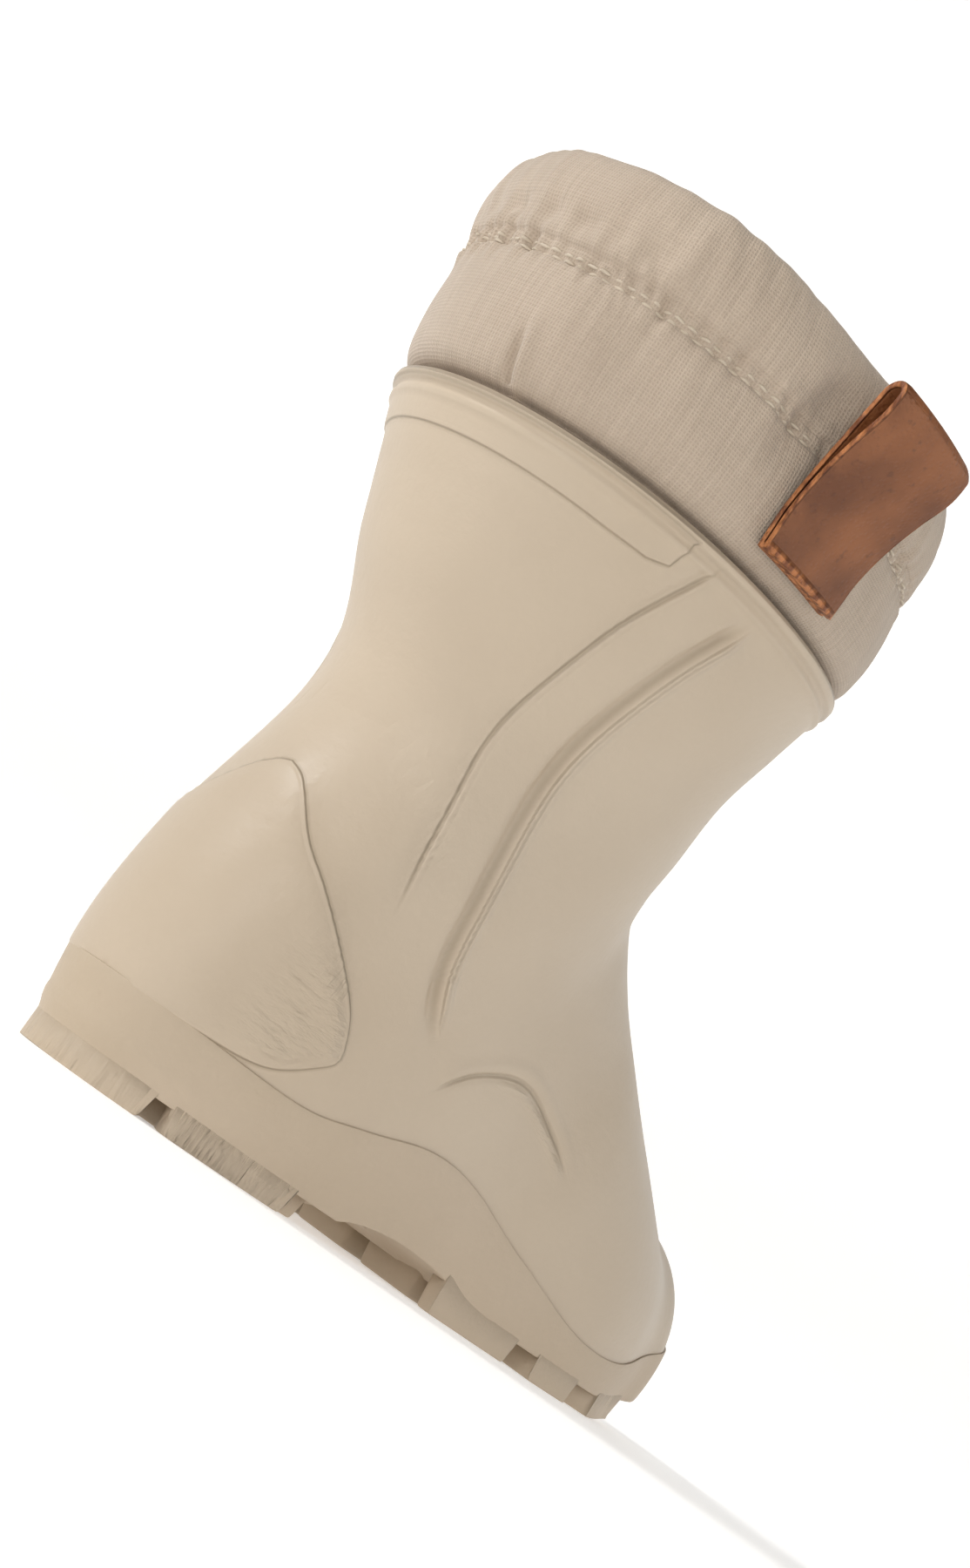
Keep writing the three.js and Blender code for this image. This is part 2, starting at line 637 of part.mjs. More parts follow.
// Pull tab: a strip folded at its top, sewn flat to the cuff below and leaning out above, with a slit in the fold.
const tabPath = [
  { rise: 0.0, lean: 0.0, slit: 0 },
  { rise: 0.12, lean: 0.02, slit: 0 },
  { rise: 0.25, lean: 0.06, slit: 0 },
  { rise: 0.45, lean: 0.27, slit: 0.15 },
  { rise: 0.65, lean: 0.55, slit: 0.35 },
  { rise: 0.85, lean: 0.82, slit: 0.45 },
  { rise: 0.96, lean: 0.95, slit: 0.3 },
];
const tabTurn = 1.5 * Math.PI - Math.asin(tabBack / (rimDepth / 2)); // on the lateral side
const tabParts = 6;
const cuffFace = 0.42 * cuffThickness; // where the cuff's outer face bulges most

function tabSolid() {
  const reach = tabWidth / rimDepth * 2; // half the strip's width as an angle, both ways
  const face = cuffFace + gap;
  const outer = tabPath.map(({ rise, lean, slit }) => [face + lean * tabLean + tabThickness + slit * tabThickness / 2, rise]);
  const inner = tabPath.map(({ rise, lean, slit }) => [face + lean * tabLean - slit * tabThickness / 2, rise]).reverse();
  const outline = [...outer, [face + tabLean + tabThickness / 2, 1], ...inner];
  const slitRows = tabPath.filter(({ slit }) => slit > 0);
  const middle = ({ lean }) => face + lean * tabLean + tabThickness / 2;
  const slit = [
    ...slitRows.map((row) => [middle(row) + row.slit * tabThickness / 2 * 0.7, row.rise]),
    ...slitRows.map((row) => [middle(row) - row.slit * tabThickness / 2 * 0.7, row.rise]).reverse(),
  ];
  return tabSweep(outline, reach, 0).subtract(tabSweep(slit, reach, 1));
}

function tabSweep(outline, reach, extra) {
  const points = [];
  const index = [];
  const n = outline.length;
  for (let k = 0; k <= tabParts; k++) {
    const turn = tabTurn + mix(-1 - extra * 0.1, 1 + extra * 0.1, k / tabParts) * reach / 2;
    for (const [out, rise] of outline) points.push(collarPoint(turn, (tabStart + rise * tabRise) / cuffHeight, out, 0));
  }
  for (let k = 0; k < tabParts; k++) {
    for (let i = 0; i < n; i++) {
      const a = k * n + i;
      const b = k * n + (i + 1) % n;
      index.push(a, a + n, b + n, a, b + n, b);
    }
  }
  const flat = outline.map(([out, rise]) => new THREE.Vector2(out, rise * tabRise));
  const end = tabParts * n;
  for (const [a, b, c] of THREE.ShapeUtils.triangulateShape(flat, [])) {
    index.push(a, b, c, end + a, end + c, end + b);
  }
  return solidFrom(points, index);
}

const materials = {
  sole: new THREE.MeshStandardMaterial({ color: 0xb5a68d, roughness: 0.75, metalness: 0 }),
  shell: new THREE.MeshStandardMaterial({ color: 0xc9bca4, roughness: 0.6, metalness: 0 }),
  insole: new THREE.MeshStandardMaterial({ color: 0xa79a86, roughness: 0.95, metalness: 0 }),
  cuff: new THREE.MeshStandardMaterial({ color: 0xbfb19b, roughness: 0.9, metalness: 0 }),
  leather: new THREE.MeshStandardMaterial({ color: 0x8a5436, roughness: 0.65, metalness: 0 }),
};

function meshOf(name, solid, material) {
  const { vertProperties, triVerts, numProp } = solid.getMesh();
  const position = new Float32Array(vertProperties.length / numProp * 3);
  for (let i = 0; i < position.length / 3; i++) {
    position.set(vertProperties.subarray(i * numProp, i * numProp + 3), i * 3);
  }
  const geometry = new THREE.BufferGeometry();
  geometry.setAttribute('position', new THREE.BufferAttribute(position, 3));
  geometry.setIndex(new THREE.BufferAttribute(new Uint32Array(triVerts), 1));
  geometry.computeVertexNormals();
  const mesh = new THREE.Mesh(geometry, material);
  mesh.name = name;
  return mesh;
}

const boot = new THREE.Group();
boot.add(meshOf('outsole', outsoleSolid(), materials.sole));
boot.add(meshOf('shell', shellSolid(), materials.shell));
boot.add(meshOf('insole', insoleSolid(), materials.insole));
boot.add(meshOf('cuff', cuffSolid(), materials.cuff));
boot.add(meshOf('pull_tab', tabSolid(), materials.leather));

// The origin is the middle of the bounding box, at its bottom.
const box = new THREE.Box3().setFromObject(boot);
boot.position.set(-(box.min.x + box.max.x) / 2, -(box.min.y + box.max.y) / 2, -box.min.z);

export default boot;
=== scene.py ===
import math

import bmesh
import bpy
import numpy as np
from mathutils import Matrix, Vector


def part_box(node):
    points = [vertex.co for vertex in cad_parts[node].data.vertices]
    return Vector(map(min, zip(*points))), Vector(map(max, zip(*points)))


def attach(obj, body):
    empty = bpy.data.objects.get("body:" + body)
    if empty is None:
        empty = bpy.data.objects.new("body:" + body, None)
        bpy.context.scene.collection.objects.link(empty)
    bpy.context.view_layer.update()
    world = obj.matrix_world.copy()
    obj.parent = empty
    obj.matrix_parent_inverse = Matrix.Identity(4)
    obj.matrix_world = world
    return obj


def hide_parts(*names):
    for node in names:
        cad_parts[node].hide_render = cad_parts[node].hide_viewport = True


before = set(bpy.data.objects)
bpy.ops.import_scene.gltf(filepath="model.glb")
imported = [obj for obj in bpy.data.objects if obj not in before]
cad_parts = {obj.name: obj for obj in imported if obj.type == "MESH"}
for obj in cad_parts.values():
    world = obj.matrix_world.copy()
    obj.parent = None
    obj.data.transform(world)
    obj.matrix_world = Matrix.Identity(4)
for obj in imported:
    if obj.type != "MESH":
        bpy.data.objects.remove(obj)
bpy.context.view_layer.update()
print("frame loaded")

# The last and the mould, with the part's own sizes
boot = {
    "soleLength": 214, "heelShare": 0.4766, "ballWidth": 88, "waistWidth": 62, "heelWidth": 66,
    "toeHeight": 47, "instepHeight": 86, "toeInflare": 10,
    "ankleWidth": 71, "ankleBack": 89, "ankleBackHeight": 92, "throatFront": -8,
    "rimHeight": 152, "rimDepth": 126, "rimWidth": 98, "rimCentre": 51, "wall": 3.2,
    "lugDepth": 5, "toeSpring": 7, "archRise": 3.5, "heelBed": 17, "ballBed": 10.5, "sideRise": 9.5,
    "sideStep": 0.7, "capRings": 5, "capPower": 2 / 2.3, "capTip": 0.5,
    "cuffHeight": 45, "cuffTilt": 4, "cuffTuck": 10, "cuffThickness": 5, "cuffTopDepth": 126,
    "cuffTopWidth": 102, "cuffTopBack": 8, "cuffTopOut": 3,
}
half = boot["soleLength"] * boot["heelShare"]
toeEnd = half - boot["soleLength"]
# left free between two pieces
gap = 0.3


# Arrays and curves

def mix(a, b, t):
    # a where t is 0, and b where it is 1
    return a + (b - a) * t


def smooth(low, high, x):
    # 0 below low, 1 above high, and 3t^2 - 2t^3 between
    t = np.clip((x - low) / (high - low), 0, 1)
    return t * t * (3 - 2 * t)


def hill(x, middle, width):
    # exp(-((x - middle) / width)^2): 1 in the middle, and near 0 from twice the width on
    return np.exp(-((x - middle) / width) ** 2)


def catmull(rows, s):
    # Catmull-Rom curve through the rows, at the whole and part row numbers s
    rows = np.asarray(rows, float)
    ends = np.vstack([2 * rows[0] - rows[1], rows, 2 * rows[-1] - rows[-2]])
    s = np.asarray(s, float)
    i = np.clip(np.floor(s).astype(int), 0, len(rows) - 2)
    t = (s - i)[..., None]
    p0, p1, p2, p3 = ends[i], ends[i + 1], ends[i + 2], ends[i + 3]
    square = 2 * p0 - 5 * p1 + 4 * p2 - p3
    cube = 3 * p1 - p0 - 3 * p2 + p3
    return 0.5 * (2 * p1 + (p2 - p0) * t + square * t ** 2 + cube * t ** 3)


def unit(v):
    # the same direction, with a length of 1
    return v / np.maximum(np.linalg.norm(v, axis=-1, keepdims=True), 1e-9)


def spread(weights, count):
    # count + 1 places from 0 to 1 whose spacing is inverse to the weights, sampled evenly
    total = np.concatenate([[0], np.cumsum(0.5 * (weights[1:] + weights[:-1]))])
    return np.interp(np.linspace(0, total[-1], count + 1), total, np.linspace(0, 1, len(weights)))


# The boot's sections, as the part's own table has them

def bodyRows():
    # columns: front y and z, back y and z, half width, centre x, widest place, front and back roundness
    b = boot
    foot = [(-0.83, 1.0, -0.8, -0.3, 0.87, 0.7, 0.55, 2.2, 2.4),
            (-0.64, 1.14, -0.58, -0.32, 0.975, 0.28, 0.58, 2.1, 2.5),
            (-0.46, 1.36, -0.34, -0.32, 1.0, 0.0, 0.6, 2.0, 2.5)]
    instep = [(-0.22, 0.87, -0.06, -0.28, 0.5, -0.42, 0.62, 2.0, 2.5),
              (-0.13, 0.97, 0.24, -0.24, 0.0, -0.52, 0.6, 2.0, 2.4)]
    heel = [(-0.075, 1.07, 0.56, -0.28, 0.0, -0.2, 0.58, 2.0, 2.3),
            (-0.035, 1.16, 0.88, -0.2, 0.5, 0.0, 0.54, 2.0, 2.2),
            (-0.015, 1.25, 1.0, 0.3, 0.5, 0.0, 0.5, 2.05, 2.15),
            (-0.01, 1.34, 0.985, 0.95, 1.0, 0.0, 0.5, 2.1, 2.1)]
    shaft = [(0.33, 0.0, 0.0), (0.66, 0.5, 0.5), (1.0, 1.0, 1.0), (1.3, 1.2, 1.05)]
    toe, inflare = b["toeHeight"], b["toeInflare"]
    rows = [(fy * half, fz * toe, by * half, bz * toe, w * b["ballWidth"] / 2, cx * inflare, *rest)
            for fy, fz, by, bz, w, cx, *rest in foot]
    widths = ((b["waistWidth"], b["ballWidth"]), (b["heelWidth"], b["ankleWidth"]))
    for group, (narrow, wide) in zip((instep, heel), widths):
        rows += [(b["throatFront"] + lead * half, fz * b["instepHeight"], by * half, bz * toe,
                  mix(narrow, wide, w) / 2, cx * inflare, *rest) for lead, fz, by, bz, w, cx, *rest in group]
    throatTop = heel[-1][1] * b["instepHeight"]
    rimFront, rimBack = b["rimCentre"] - b["rimDepth"] / 2, b["rimCentre"] + b["rimDepth"] / 2
    rows += [(mix(b["throatFront"], rimFront, rise), mix(throatTop, b["rimHeight"], rise),
              mix(b["ankleBack"], rimBack, back), mix(b["ankleBackHeight"], b["rimHeight"], back),
              mix(b["ankleWidth"], b["rimWidth"], w) / 2, 0, 0.5, 2.1, 2.1) for rise, back, w in shaft]
    first, tip, cap = rows[0], b["capTip"] * toe, []
    for k in range(b["capRings"]):
        turn = math.pi / 2 * (1 - k / b["capRings"])
        out, size = math.sin(turn) ** b["capPower"], max(math.cos(turn), 0) ** b["capPower"]
        cap.append((mix(first[0], toeEnd, out), mix(tip, first[1], size), mix(first[2], toeEnd, out),
                    mix(tip, first[3], size), first[4] * size, mix(first[5], inflare, out), *first[6:]))
    return np.array(cap + rows)


rows = bodyRows()
rimRow = len(rows) - 2


def skin(s, turn):
    # A section is two half superellipses between its front and back points: turn 0 is the front, pi the back
    fy, fz, by, bz, w, cx, mid, nf, nb = np.moveaxis(catmull(rows, s), -1, 0)
    c, sn = np.cos(turn), np.sin(turn)
    power = 2 / np.where(c > 0, nf, nb)
    reach = np.abs(c) ** power
    share = np.where(c > 0, mid * (1 - reach), mid + (1 - mid) * reach)
    side = np.sign(sn) * np.abs(sn) ** power
    return np.stack([cx + w * side, mix(fy, by, share), mix(fz, bz, share)], -1)


def skinNormal(s, turn):
    # cross product of the steps round the section and along the boot
    d = 1e-3
    sideways = skin(s, turn + d) - skin(s, turn - d)
    along = skin(np.minimum(s + d, len(rows) - 1), turn) - skin(np.maximum(s - d, 0), turn)
    return unit(np.cross(sideways, along))


def profile(stations):
    # height along the boot through a few stations, given as shares of half the sole
    rowNumbers = np.linspace(0, len(stations) - 1, 240)
    points = catmull([(share * half, z) for share, z in stations], rowNumbers)
    return lambda y: np.interp(y, points[:, 0], points[:, 1])


ballBed, sideRise = boot["ballBed"], boot["sideRise"]
bedDrop = boot["heelBed"] - ballBed
bedHeight = profile([(share, ballBed + rise * bedDrop) for share, rise in (
    (-1.3, 0.9), (-0.8, 0.35), (-0.5, 0), (-0.25, 0.05), (0.15, 0.8), (0.45, 1), (1.3, 1))])
# the parting line between the sole's side and the upper
partHeight = profile([(share, ballBed + rise * sideRise) for share, rise in (
    (-1.3, 1.9), (-1.0, 1.35), (-0.8, 0.8), (-0.58, 0.3), (-0.34, 0.3), (-0.08, 0.95),
    (0.12, 1.6), (0.3, 1.72), (0.5, 1.25), (0.68, 0.9), (1.0, 0.98), (1.3, 1.0))])


def ground(y):
    # the floor under heel and ball, and the toe's spring: a parabola from the ball on
    start = -0.56 * half
    return np.where(y > start, 0, boot["toeSpring"] * ((start - y) / (start - toeEnd)) ** 2)


def treadFloor(y):
    # the face that the pads stand on, higher at the arch: half a sine wave to a power
    t = (y / half + 0.02) / 0.4
    arch = np.where((t > 0) & (t < 1), np.abs(np.sin(np.pi * np.clip(t, 0, 1))) ** 0.6, 0)
    return ground(np.maximum(y, toeEnd)) + boot["lugDepth"] + boot["archRise"] * arch


# The frame's origin is the middle of the whole boot: the rim's side and the heel's back give the shift to it
shellLow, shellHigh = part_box("shell")
shift = np.array([shellLow.x * 1000 + boot["rimWidth"] / 2 + 1, shellHigh.y * 1000 - boot["rimCentre"]
                  - boot["rimDepth"] / 2 - 1, 0])
print("shift to the frame's origin:", shift.round(2))


# Meshes

def gridFaces(rowCount, columnCount, closed=False, start=0):
    # quads of a grid whose vertices run along each row; closed joins each row's end to its start
    across = columnCount if closed else columnCount - 1
    i, j = np.meshgrid(np.arange(rowCount - 1) * columnCount, np.arange(across), indexing="ij")
    k = (j + 1) % columnCount
    return np.stack([i + j, i + k, i + k + columnCount, i + j + columnCount], -1).reshape(-1, 4) + start


def makePiece(name, points, faces, material, replaced=(), weld=0.004, attributes=None):
    # points in millimetres from the boot's own middle; the mesh is in metres from the frame's origin
    mesh = bpy.data.meshes.new(name)
    verts = (np.asarray(points).reshape(-1, 3) + shift) / 1000
    mesh.from_pydata(verts.tolist(), [], [list(map(int, f)) for f in faces])
    for key, values in (attributes or {}).items():
        # one number for each point, or two: a distance and a strength
        values = np.asarray(values, np.float32)
        kind, slotName = ("FLOAT2", "vector") if values.shape[-1] == 2 else ("FLOAT", "value")
        mesh.attributes.new(key, kind, "POINT").data.foreach_set(slotName, values.ravel())
    if weld:
        work = bmesh.new()
        work.from_mesh(mesh)
        bmesh.ops.remove_doubles(work, verts=work.verts, dist=weld / 1000)
        bmesh.ops.recalc_face_normals(work, faces=work.faces)
        work.to_mesh(mesh)
        work.free()
    mesh.shade_smooth()
    piece = bpy.data.objects.new(name, mesh)
    bpy.context.scene.collection.objects.link(piece)
    mesh.materials.append(material)
    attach(piece, "root")
    if replaced:
        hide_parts(*replaced)
    return piece


# Materials

colours = {
    # paintedCreaseShade is painted shade, laid in the creases of the mould's lines
    "shell": ("#C5B5A0", "#BDAC96"), "sole": ("#C0AF9A", "#B7A68F"), "paintedCreaseShade": "#8A7962",
    # shadeBetweenThreads is painted shade, laid in the gaps of the nylon's weave
    "felt": ("#A8977F", "#857660"), "nylon": ("#C6B4A1", "#B4A28F"), "shadeBetweenThreads": "#6E5F50",
    "thread": ("#D8CBB8", "#B7A791"), "leather": ("#8C552F", "#693C1F"), "leatherSpecks": "#4E2A17",
    "cutEdge": ("#BF7A48", "#7A4424"),
}


def colour(text):
    # sRGB hex to linear
    parts = [int(text[i:i + 2], 16) / 255 for i in (1, 3, 5)]
    return (*[p / 12.92 if p < 0.04045 else ((p + 0.055) / 1.055) ** 2.4 for p in parts], 1)


def addNode(tree, kind, inputs=None, out=0, **settings):
    # a node with its settings and links: gives one of its outputs, by number or name
    made = tree.nodes.new("ShaderNode" + kind)
    for key, value in settings.items():
        setattr(made, key, value)
    for key, value in (inputs or {}).items():
        if isinstance(value, bpy.types.NodeSocket):
            tree.links.new(value, made.inputs[key])
        else:
            made.inputs[key].default_value = value
    return made.outputs[out]


def newMaterial(name, **shader):
    # numbers that are the same all over the surface go on the shader's own sockets
    material = bpy.data.materials.new(name)
    material.use_nodes = True
    tree = material.node_tree
    surface = tree.nodes["Principled BSDF"]
    for key, value in shader.items():
        surface.inputs[key.replace("_", " ")].default_value = value
    return material, tree, surface


def weightedSum(tree, parts):
    # patterns added together, each times its weight
    total = 0.0
    for value, weight in parts:
        total = addNode(tree, "Math", {0: value, 1: weight, 2: total}, operation="MULTIPLY_ADD")
    return total


def dress(tree, surface, tint, heights, strength=1.0):
    # links the colour, and a bump from patterns with their heights in millimetres
    tree.links.new(tint, surface.inputs["Base Color"])
    height = weightedSum(tree, heights)
    bump = addNode(tree, "Bump", {"Height": height, "Strength": strength, "Distance": 0.001})
    tree.links.new(bump, surface.inputs["Normal"])


def lumps(millimetres):
    # the scale of a noise whose lumps are about so many millimetres across
    return 500 / millimetres


# Across a line of the mould, in millimetres from it: the height of its bump, and how much painted shade its
# colour gets
# A crease is sunk and has painted shade in it, a bead is raised, and a step climbs from one level to the next
mouldLines = {
    "frontRidge": ([(-1.5, 0.0), (-0.5, 0.1), (0.1, 0.6), (1.1, 0.2), (2.5, 0.0)],
                   [(-2.9, 0.0), (-1.5, 0.42), (-0.4, 0.0)]),
    "backRidge": ([(-0.8, 0.25), (-0.2, 0.0), (0.5, 0.45), (1.6, 0.25)],
                  [(-1.1, 0.0), (-0.3, 0.55), (0.4, 0.0)]),
    "groove": ([(-0.8, 0.3), (0, 0.0), (0.8, 0.34), (1.8, 0.3)], [(-0.7, 0.0), (0, 0.3), (0.7, 0.0)]),
    "counter": ([(-0.9, 0.0), (-0.25, 0.0), (0.3, 0.4), (1.2, 0.25)],
                [(-0.9, 0.0), (-0.3, 0.3), (0.3, 0.0)]),
    "band": ([(-0.7, 0.2), (-0.15, 0.0), (0.4, 0.35), (1.2, 0.25)], [(-0.6, 0.0), (-0.1, 0.3), (0.3, 0.0)]),
}
lineReach = 3


def acrossLine(tree, field, stops):
    # the mesh's field holds the distance from the line and its strength, and stops the values across it
    vector = addNode(tree, "Attribute", out="Vector", attribute_name=field)
    both = addNode(tree, "SeparateXYZ", {"Vector": vector})
    span = addNode(tree, "MapRange", {"Value": both, "From Min": -lineReach, "From Max": lineReach})
    level = addNode(tree, "ValToRGB", {"Fac": span})
    ramp = level.node.color_ramp
    ramp.interpolation = "EASE"
    while len(ramp.elements) < len(stops):
        ramp.elements.new(0.5)
    for element, (distance, value) in zip(ramp.elements, stops):
        element.position = 0.5 + 0.5 * distance / lineReach
        element.color = (value, value, value, 1)
    return addNode(tree, "Math", {0: level, 1: both.node.outputs[1]}, operation="MULTIPLY")


def mouldedFoam(name, shades, roughness, skin, lines, roughened):
    # injection-moulded EVA: even and satin, a little mottled, with a fine skin and crisp lines from the
    # mould, whose creases get painted shade
    material, tree, surface = newMaterial(name, IOR=1.45)
    pale, deep = (colour(text) for text in shades)
    place = addNode(tree, "TexCoord", out="Object")
    cloud = addNode(tree, "TexNoise", {"Vector": place, "Scale": lumps(38), "Detail": 3.0})
    mottle = addNode(tree, "MapRange", {"Value": cloud, "From Min": 0.35, "From Max": 0.68})
    tint = addNode(tree, "Mix", {"Factor": mottle, 6: pale, 7: deep}, 2, data_type="RGBA")
    heights = [(addNode(tree, "TexNoise", {"Vector": place, "Scale": lumps(0.9)}), skin)]
    for field, (shape, shade) in lines.items():
        heights.append((acrossLine(tree, field, shape), 1.0))
        # painted shade: the colour is darkened towards paintedCreaseShade in each line's crease
        tint = addNode(tree, "Mix", {"Factor": acrossLine(tree, field, shade), 6: tint,
                                     7: colour(colours["paintedCreaseShade"])}, 2, data_type="RGBA")
    # the mould is spark-eroded where the mesh's field says so: a coarse grain, stretched one way
    mask = addNode(tree, "Attribute", out="Fac", attribute_name=roughened["field"])
    drawn = addNode(tree, "Mapping", {"Vector": place, "Scale": roughened["stretch"]})
    coarse = addNode(tree, "TexNoise", {"Vector": drawn, "Scale": lumps(roughened["size"]),
                                        "Detail": roughened["detail"]})
    heights.append((addNode(tree, "Math", {0: mask, 1: coarse}, operation="MULTIPLY"), roughened["height"]))
    dress(tree, surface, tint, heights)
    gloss = addNode(tree, "TexNoise", {"Vector": place, "Scale": lumps(7)})
    worn = addNode(tree, "MapRange", {"Value": gloss, "To Min": roughness - 0.05, "To Max": roughness + 0.07})
    tree.links.new(worn, surface.inputs["Roughness"])
    return material


# the counter and the vamp have a leathery grain, and the heel's outer wall has fine upright lines
leathery = {"field": "grained", "size": 1.6, "detail": 3.0, "stretch": (1, 0.45, 1.7), "height": 1.1}
upright = {"field": "rough", "size": 1.1, "detail": 2.0, "stretch": (1, 1, 0.12), "height": 1.5}
shellFoam = mouldedFoam("moulded EVA foam, satin", colours["shell"], 0.41, 0.1, mouldLines, leathery)
soleFoam = mouldedFoam("moulded EVA foam, fine grained", colours["sole"], 0.56, 0.16, {}, upright)


def brushedFelt(shades):
    # wool felt: soft matted fibres, with no gloss
    material, tree, surface = newMaterial("brushed wool felt", Roughness=1.0, IOR=1.5, Sheen_Weight=0.4)
    pale, deep = (colour(text) for text in shades)
    place = addNode(tree, "TexCoord", out="Object")
    tufts = addNode(tree, "TexNoise", {"Vector": place, "Scale": lumps(2.5), "Detail": 5.0})
    tint = addNode(tree, "Mix", {"Factor": tufts, 6: pale, 7: deep}, 2, data_type="RGBA")
    drawn = addNode(tree, "Mapping", {"Vector": place, "Scale": (1, 0.3, 1)})
    fibres = addNode(tree, "TexNoise", {"Vector": drawn, "Scale": lumps(0.8), "Detail": 4.0})
    dress(tree, surface, tint, [(fibres, 0.8)])
    return material


def wovenNylon(shades):
    # fine ripstop: a plain weave, with thicker threads that show as streaks, matt with a little sheen
    # threads of about 0.3 mm would not show, so they are drawn 0.7 mm apart
    material, tree, surface = newMaterial("woven nylon, fine ripstop", Roughness=0.82, IOR=1.5,
                                          Sheen_Weight=0.25, Sheen_Roughness=0.5)
    spacing = 0.7
    pale, deep = (colour(text) for text in shades)
    place = addNode(tree, "TexCoord", out="Object")
    cloth = addNode(tree, "UVMap", uv_map="cloth")
    threads, slubs = [], []
    for axis, stretch in (("X", (0.9, 0.05, 1)), ("Y", (0.05, 0.9, 1))):
        threads.append(addNode(tree, "TexWave", {
            "Vector": cloth, "Scale": math.pi / (10 * spacing), "Distortion": 1.2, "Detail": 1.0,
            "Detail Scale": 2.0}, "Fac", bands_direction=axis))
        drawn = addNode(tree, "Mapping", {"Vector": cloth, "Scale": stretch})
        slubs.append(addNode(tree, "TexNoise", {"Vector": drawn, "Scale": 1.0, "Detail": 3.0}))
    weave = addNode(tree, "Math", {0: threads[0], 1: threads[1]}, operation="MAXIMUM")
    streaks = weightedSum(tree, [(slubs[0], 0.8), (slubs[1], 0.2)])
    cloud = addNode(tree, "TexNoise", {"Vector": place, "Scale": lumps(14), "Detail": 3.0})
    uneven = weightedSum(tree, [(streaks, 0.6), (cloud, 0.4)])
    patch = addNode(tree, "MapRange", {"Value": uneven, "From Min": 0.34, "From Max": 0.66})
    tint = addNode(tree, "Mix", {"Factor": patch, 6: pale, 7: deep}, 2, data_type="RGBA")
    # painted shade between the threads: darker where the weave is low
    low = addNode(tree, "Math", {0: weave, 1: -0.192, 2: 0.22}, operation="MULTIPLY_ADD")
    dark = colour(colours["shadeBetweenThreads"])
    tint = addNode(tree, "Mix", {"Factor": low, 6: tint, 7: dark}, 2, data_type="RGBA")
    wrinkle = addNode(tree, "TexNoise", {"Vector": place, "Scale": lumps(5.5), "Detail": 4.0})
    dress(tree, surface, tint, [(weave, 0.16), (wrinkle, 0.8), (streaks, 0.3)], 0.8)
    return material


def spunThread(shades):
    # pale polyester sewing thread, with a slight sheen: its twist shows as uneven bands
    material, tree, surface = newMaterial("spun polyester thread", Roughness=0.6, IOR=1.5, Sheen_Weight=0.3)
    pale, deep = (colour(text) for text in shades)
    place = addNode(tree, "TexCoord", out="Object")
    bands = addNode(tree, "TexNoise", {"Vector": place, "Scale": lumps(1.2)})
    tint = addNode(tree, "Mix", {"Factor": bands, 6: pale, 7: deep}, 2, data_type="RGBA")
    tree.links.new(tint, surface.inputs["Base Color"])
    return material


def tannedLeather(shades, cutShades):
    # vegetable-tanned leather: warm and uneven, with fine pores
    material, tree, surface = newMaterial("vegetable-tanned leather", IOR=1.5)
    pale, deep, cutPale, cutDeep = (colour(text) for text in shades + cutShades)
    place = addNode(tree, "TexCoord", out="Object")
    patch = addNode(tree, "TexNoise", {"Vector": place, "Scale": lumps(9), "Detail": 4.0})
    span = addNode(tree, "MapRange", {"Value": patch, "From Min": 0.36, "From Max": 0.66})
    tint = addNode(tree, "Mix", {"Factor": span, 6: pale, 7: deep}, 2, data_type="RGBA")
    stain = addNode(tree, "TexNoise", {"Vector": place, "Scale": lumps(1.3), "Detail": 3.0})
    speck = addNode(tree, "MapRange", {"Value": stain, "From Min": 0.62, "From Max": 0.7, "To Max": 0.45})
    dark = colour(colours["leatherSpecks"])
    tint = addNode(tree, "Mix", {"Factor": speck, 6: tint, 7: dark}, 2, data_type="RGBA")
    # cut edges are pale and fibrous, where the mesh's field says so
    edge = addNode(tree, "Attribute", out="Fac", attribute_name="cutEdge")
    drawn = addNode(tree, "Mapping", {"Vector": place, "Scale": (1, 1, 0.5)})
    fibre = addNode(tree, "TexNoise", {"Vector": drawn, "Scale": lumps(0.8), "Detail": 4.0})
    torn = addNode(tree, "MapRange", {"Value": fibre, "From Min": 0.42, "From Max": 0.6})
    raw = addNode(tree, "Mix", {"Factor": torn, 6: cutPale, 7: cutDeep}, 2, data_type="RGBA")
    tint = addNode(tree, "Mix", {"Factor": edge, 6: tint, 7: raw}, 2, data_type="RGBA")
    gloss = addNode(tree, "MapRange", {"Value": patch, "To Min": 0.42, "To Max": 0.66})
    tree.links.new(gloss, surface.inputs["Roughness"])
    pores = addNode(tree, "TexVoronoi", {"Vector": place, "Scale": 900.0, "Randomness": 1.0})
    pit = addNode(tree, "MapRange", {"Value": pores, "From Min": 0.1, "From Max": 0.5})
    soft = addNode(tree, "TexNoise", {"Vector": place, "Scale": lumps(3.2), "Detail": 4.0})
    fray = addNode(tree, "Math", {0: edge, 1: fibre}, operation="MULTIPLY")
    dress(tree, surface, tint, [(pit, 0.12), (soft, 0.35), (fray, 2.2)], 0.9)
    return material


cuffNylon = wovenNylon(colours["nylon"])
thread = spunThread(colours["thread"])
felt = brushedFelt(colours["felt"])
tabLeather = tannedLeather(colours["leather"], colours["cutEdge"])
print("materials made")


# Upper

upper = {"footRows": 152, "shaftRows": 64, "columns": 312, "tuck": 1.2, "every": 4,
         "counterRise": 0.8, "bandRise": 0.5, "rimStep": 1.0, "rimBead": 0.8, "lipHeight": 0.9, "lipRows": 7,
         "grooveDepth": 0.7, "grooveLip": 0.4}

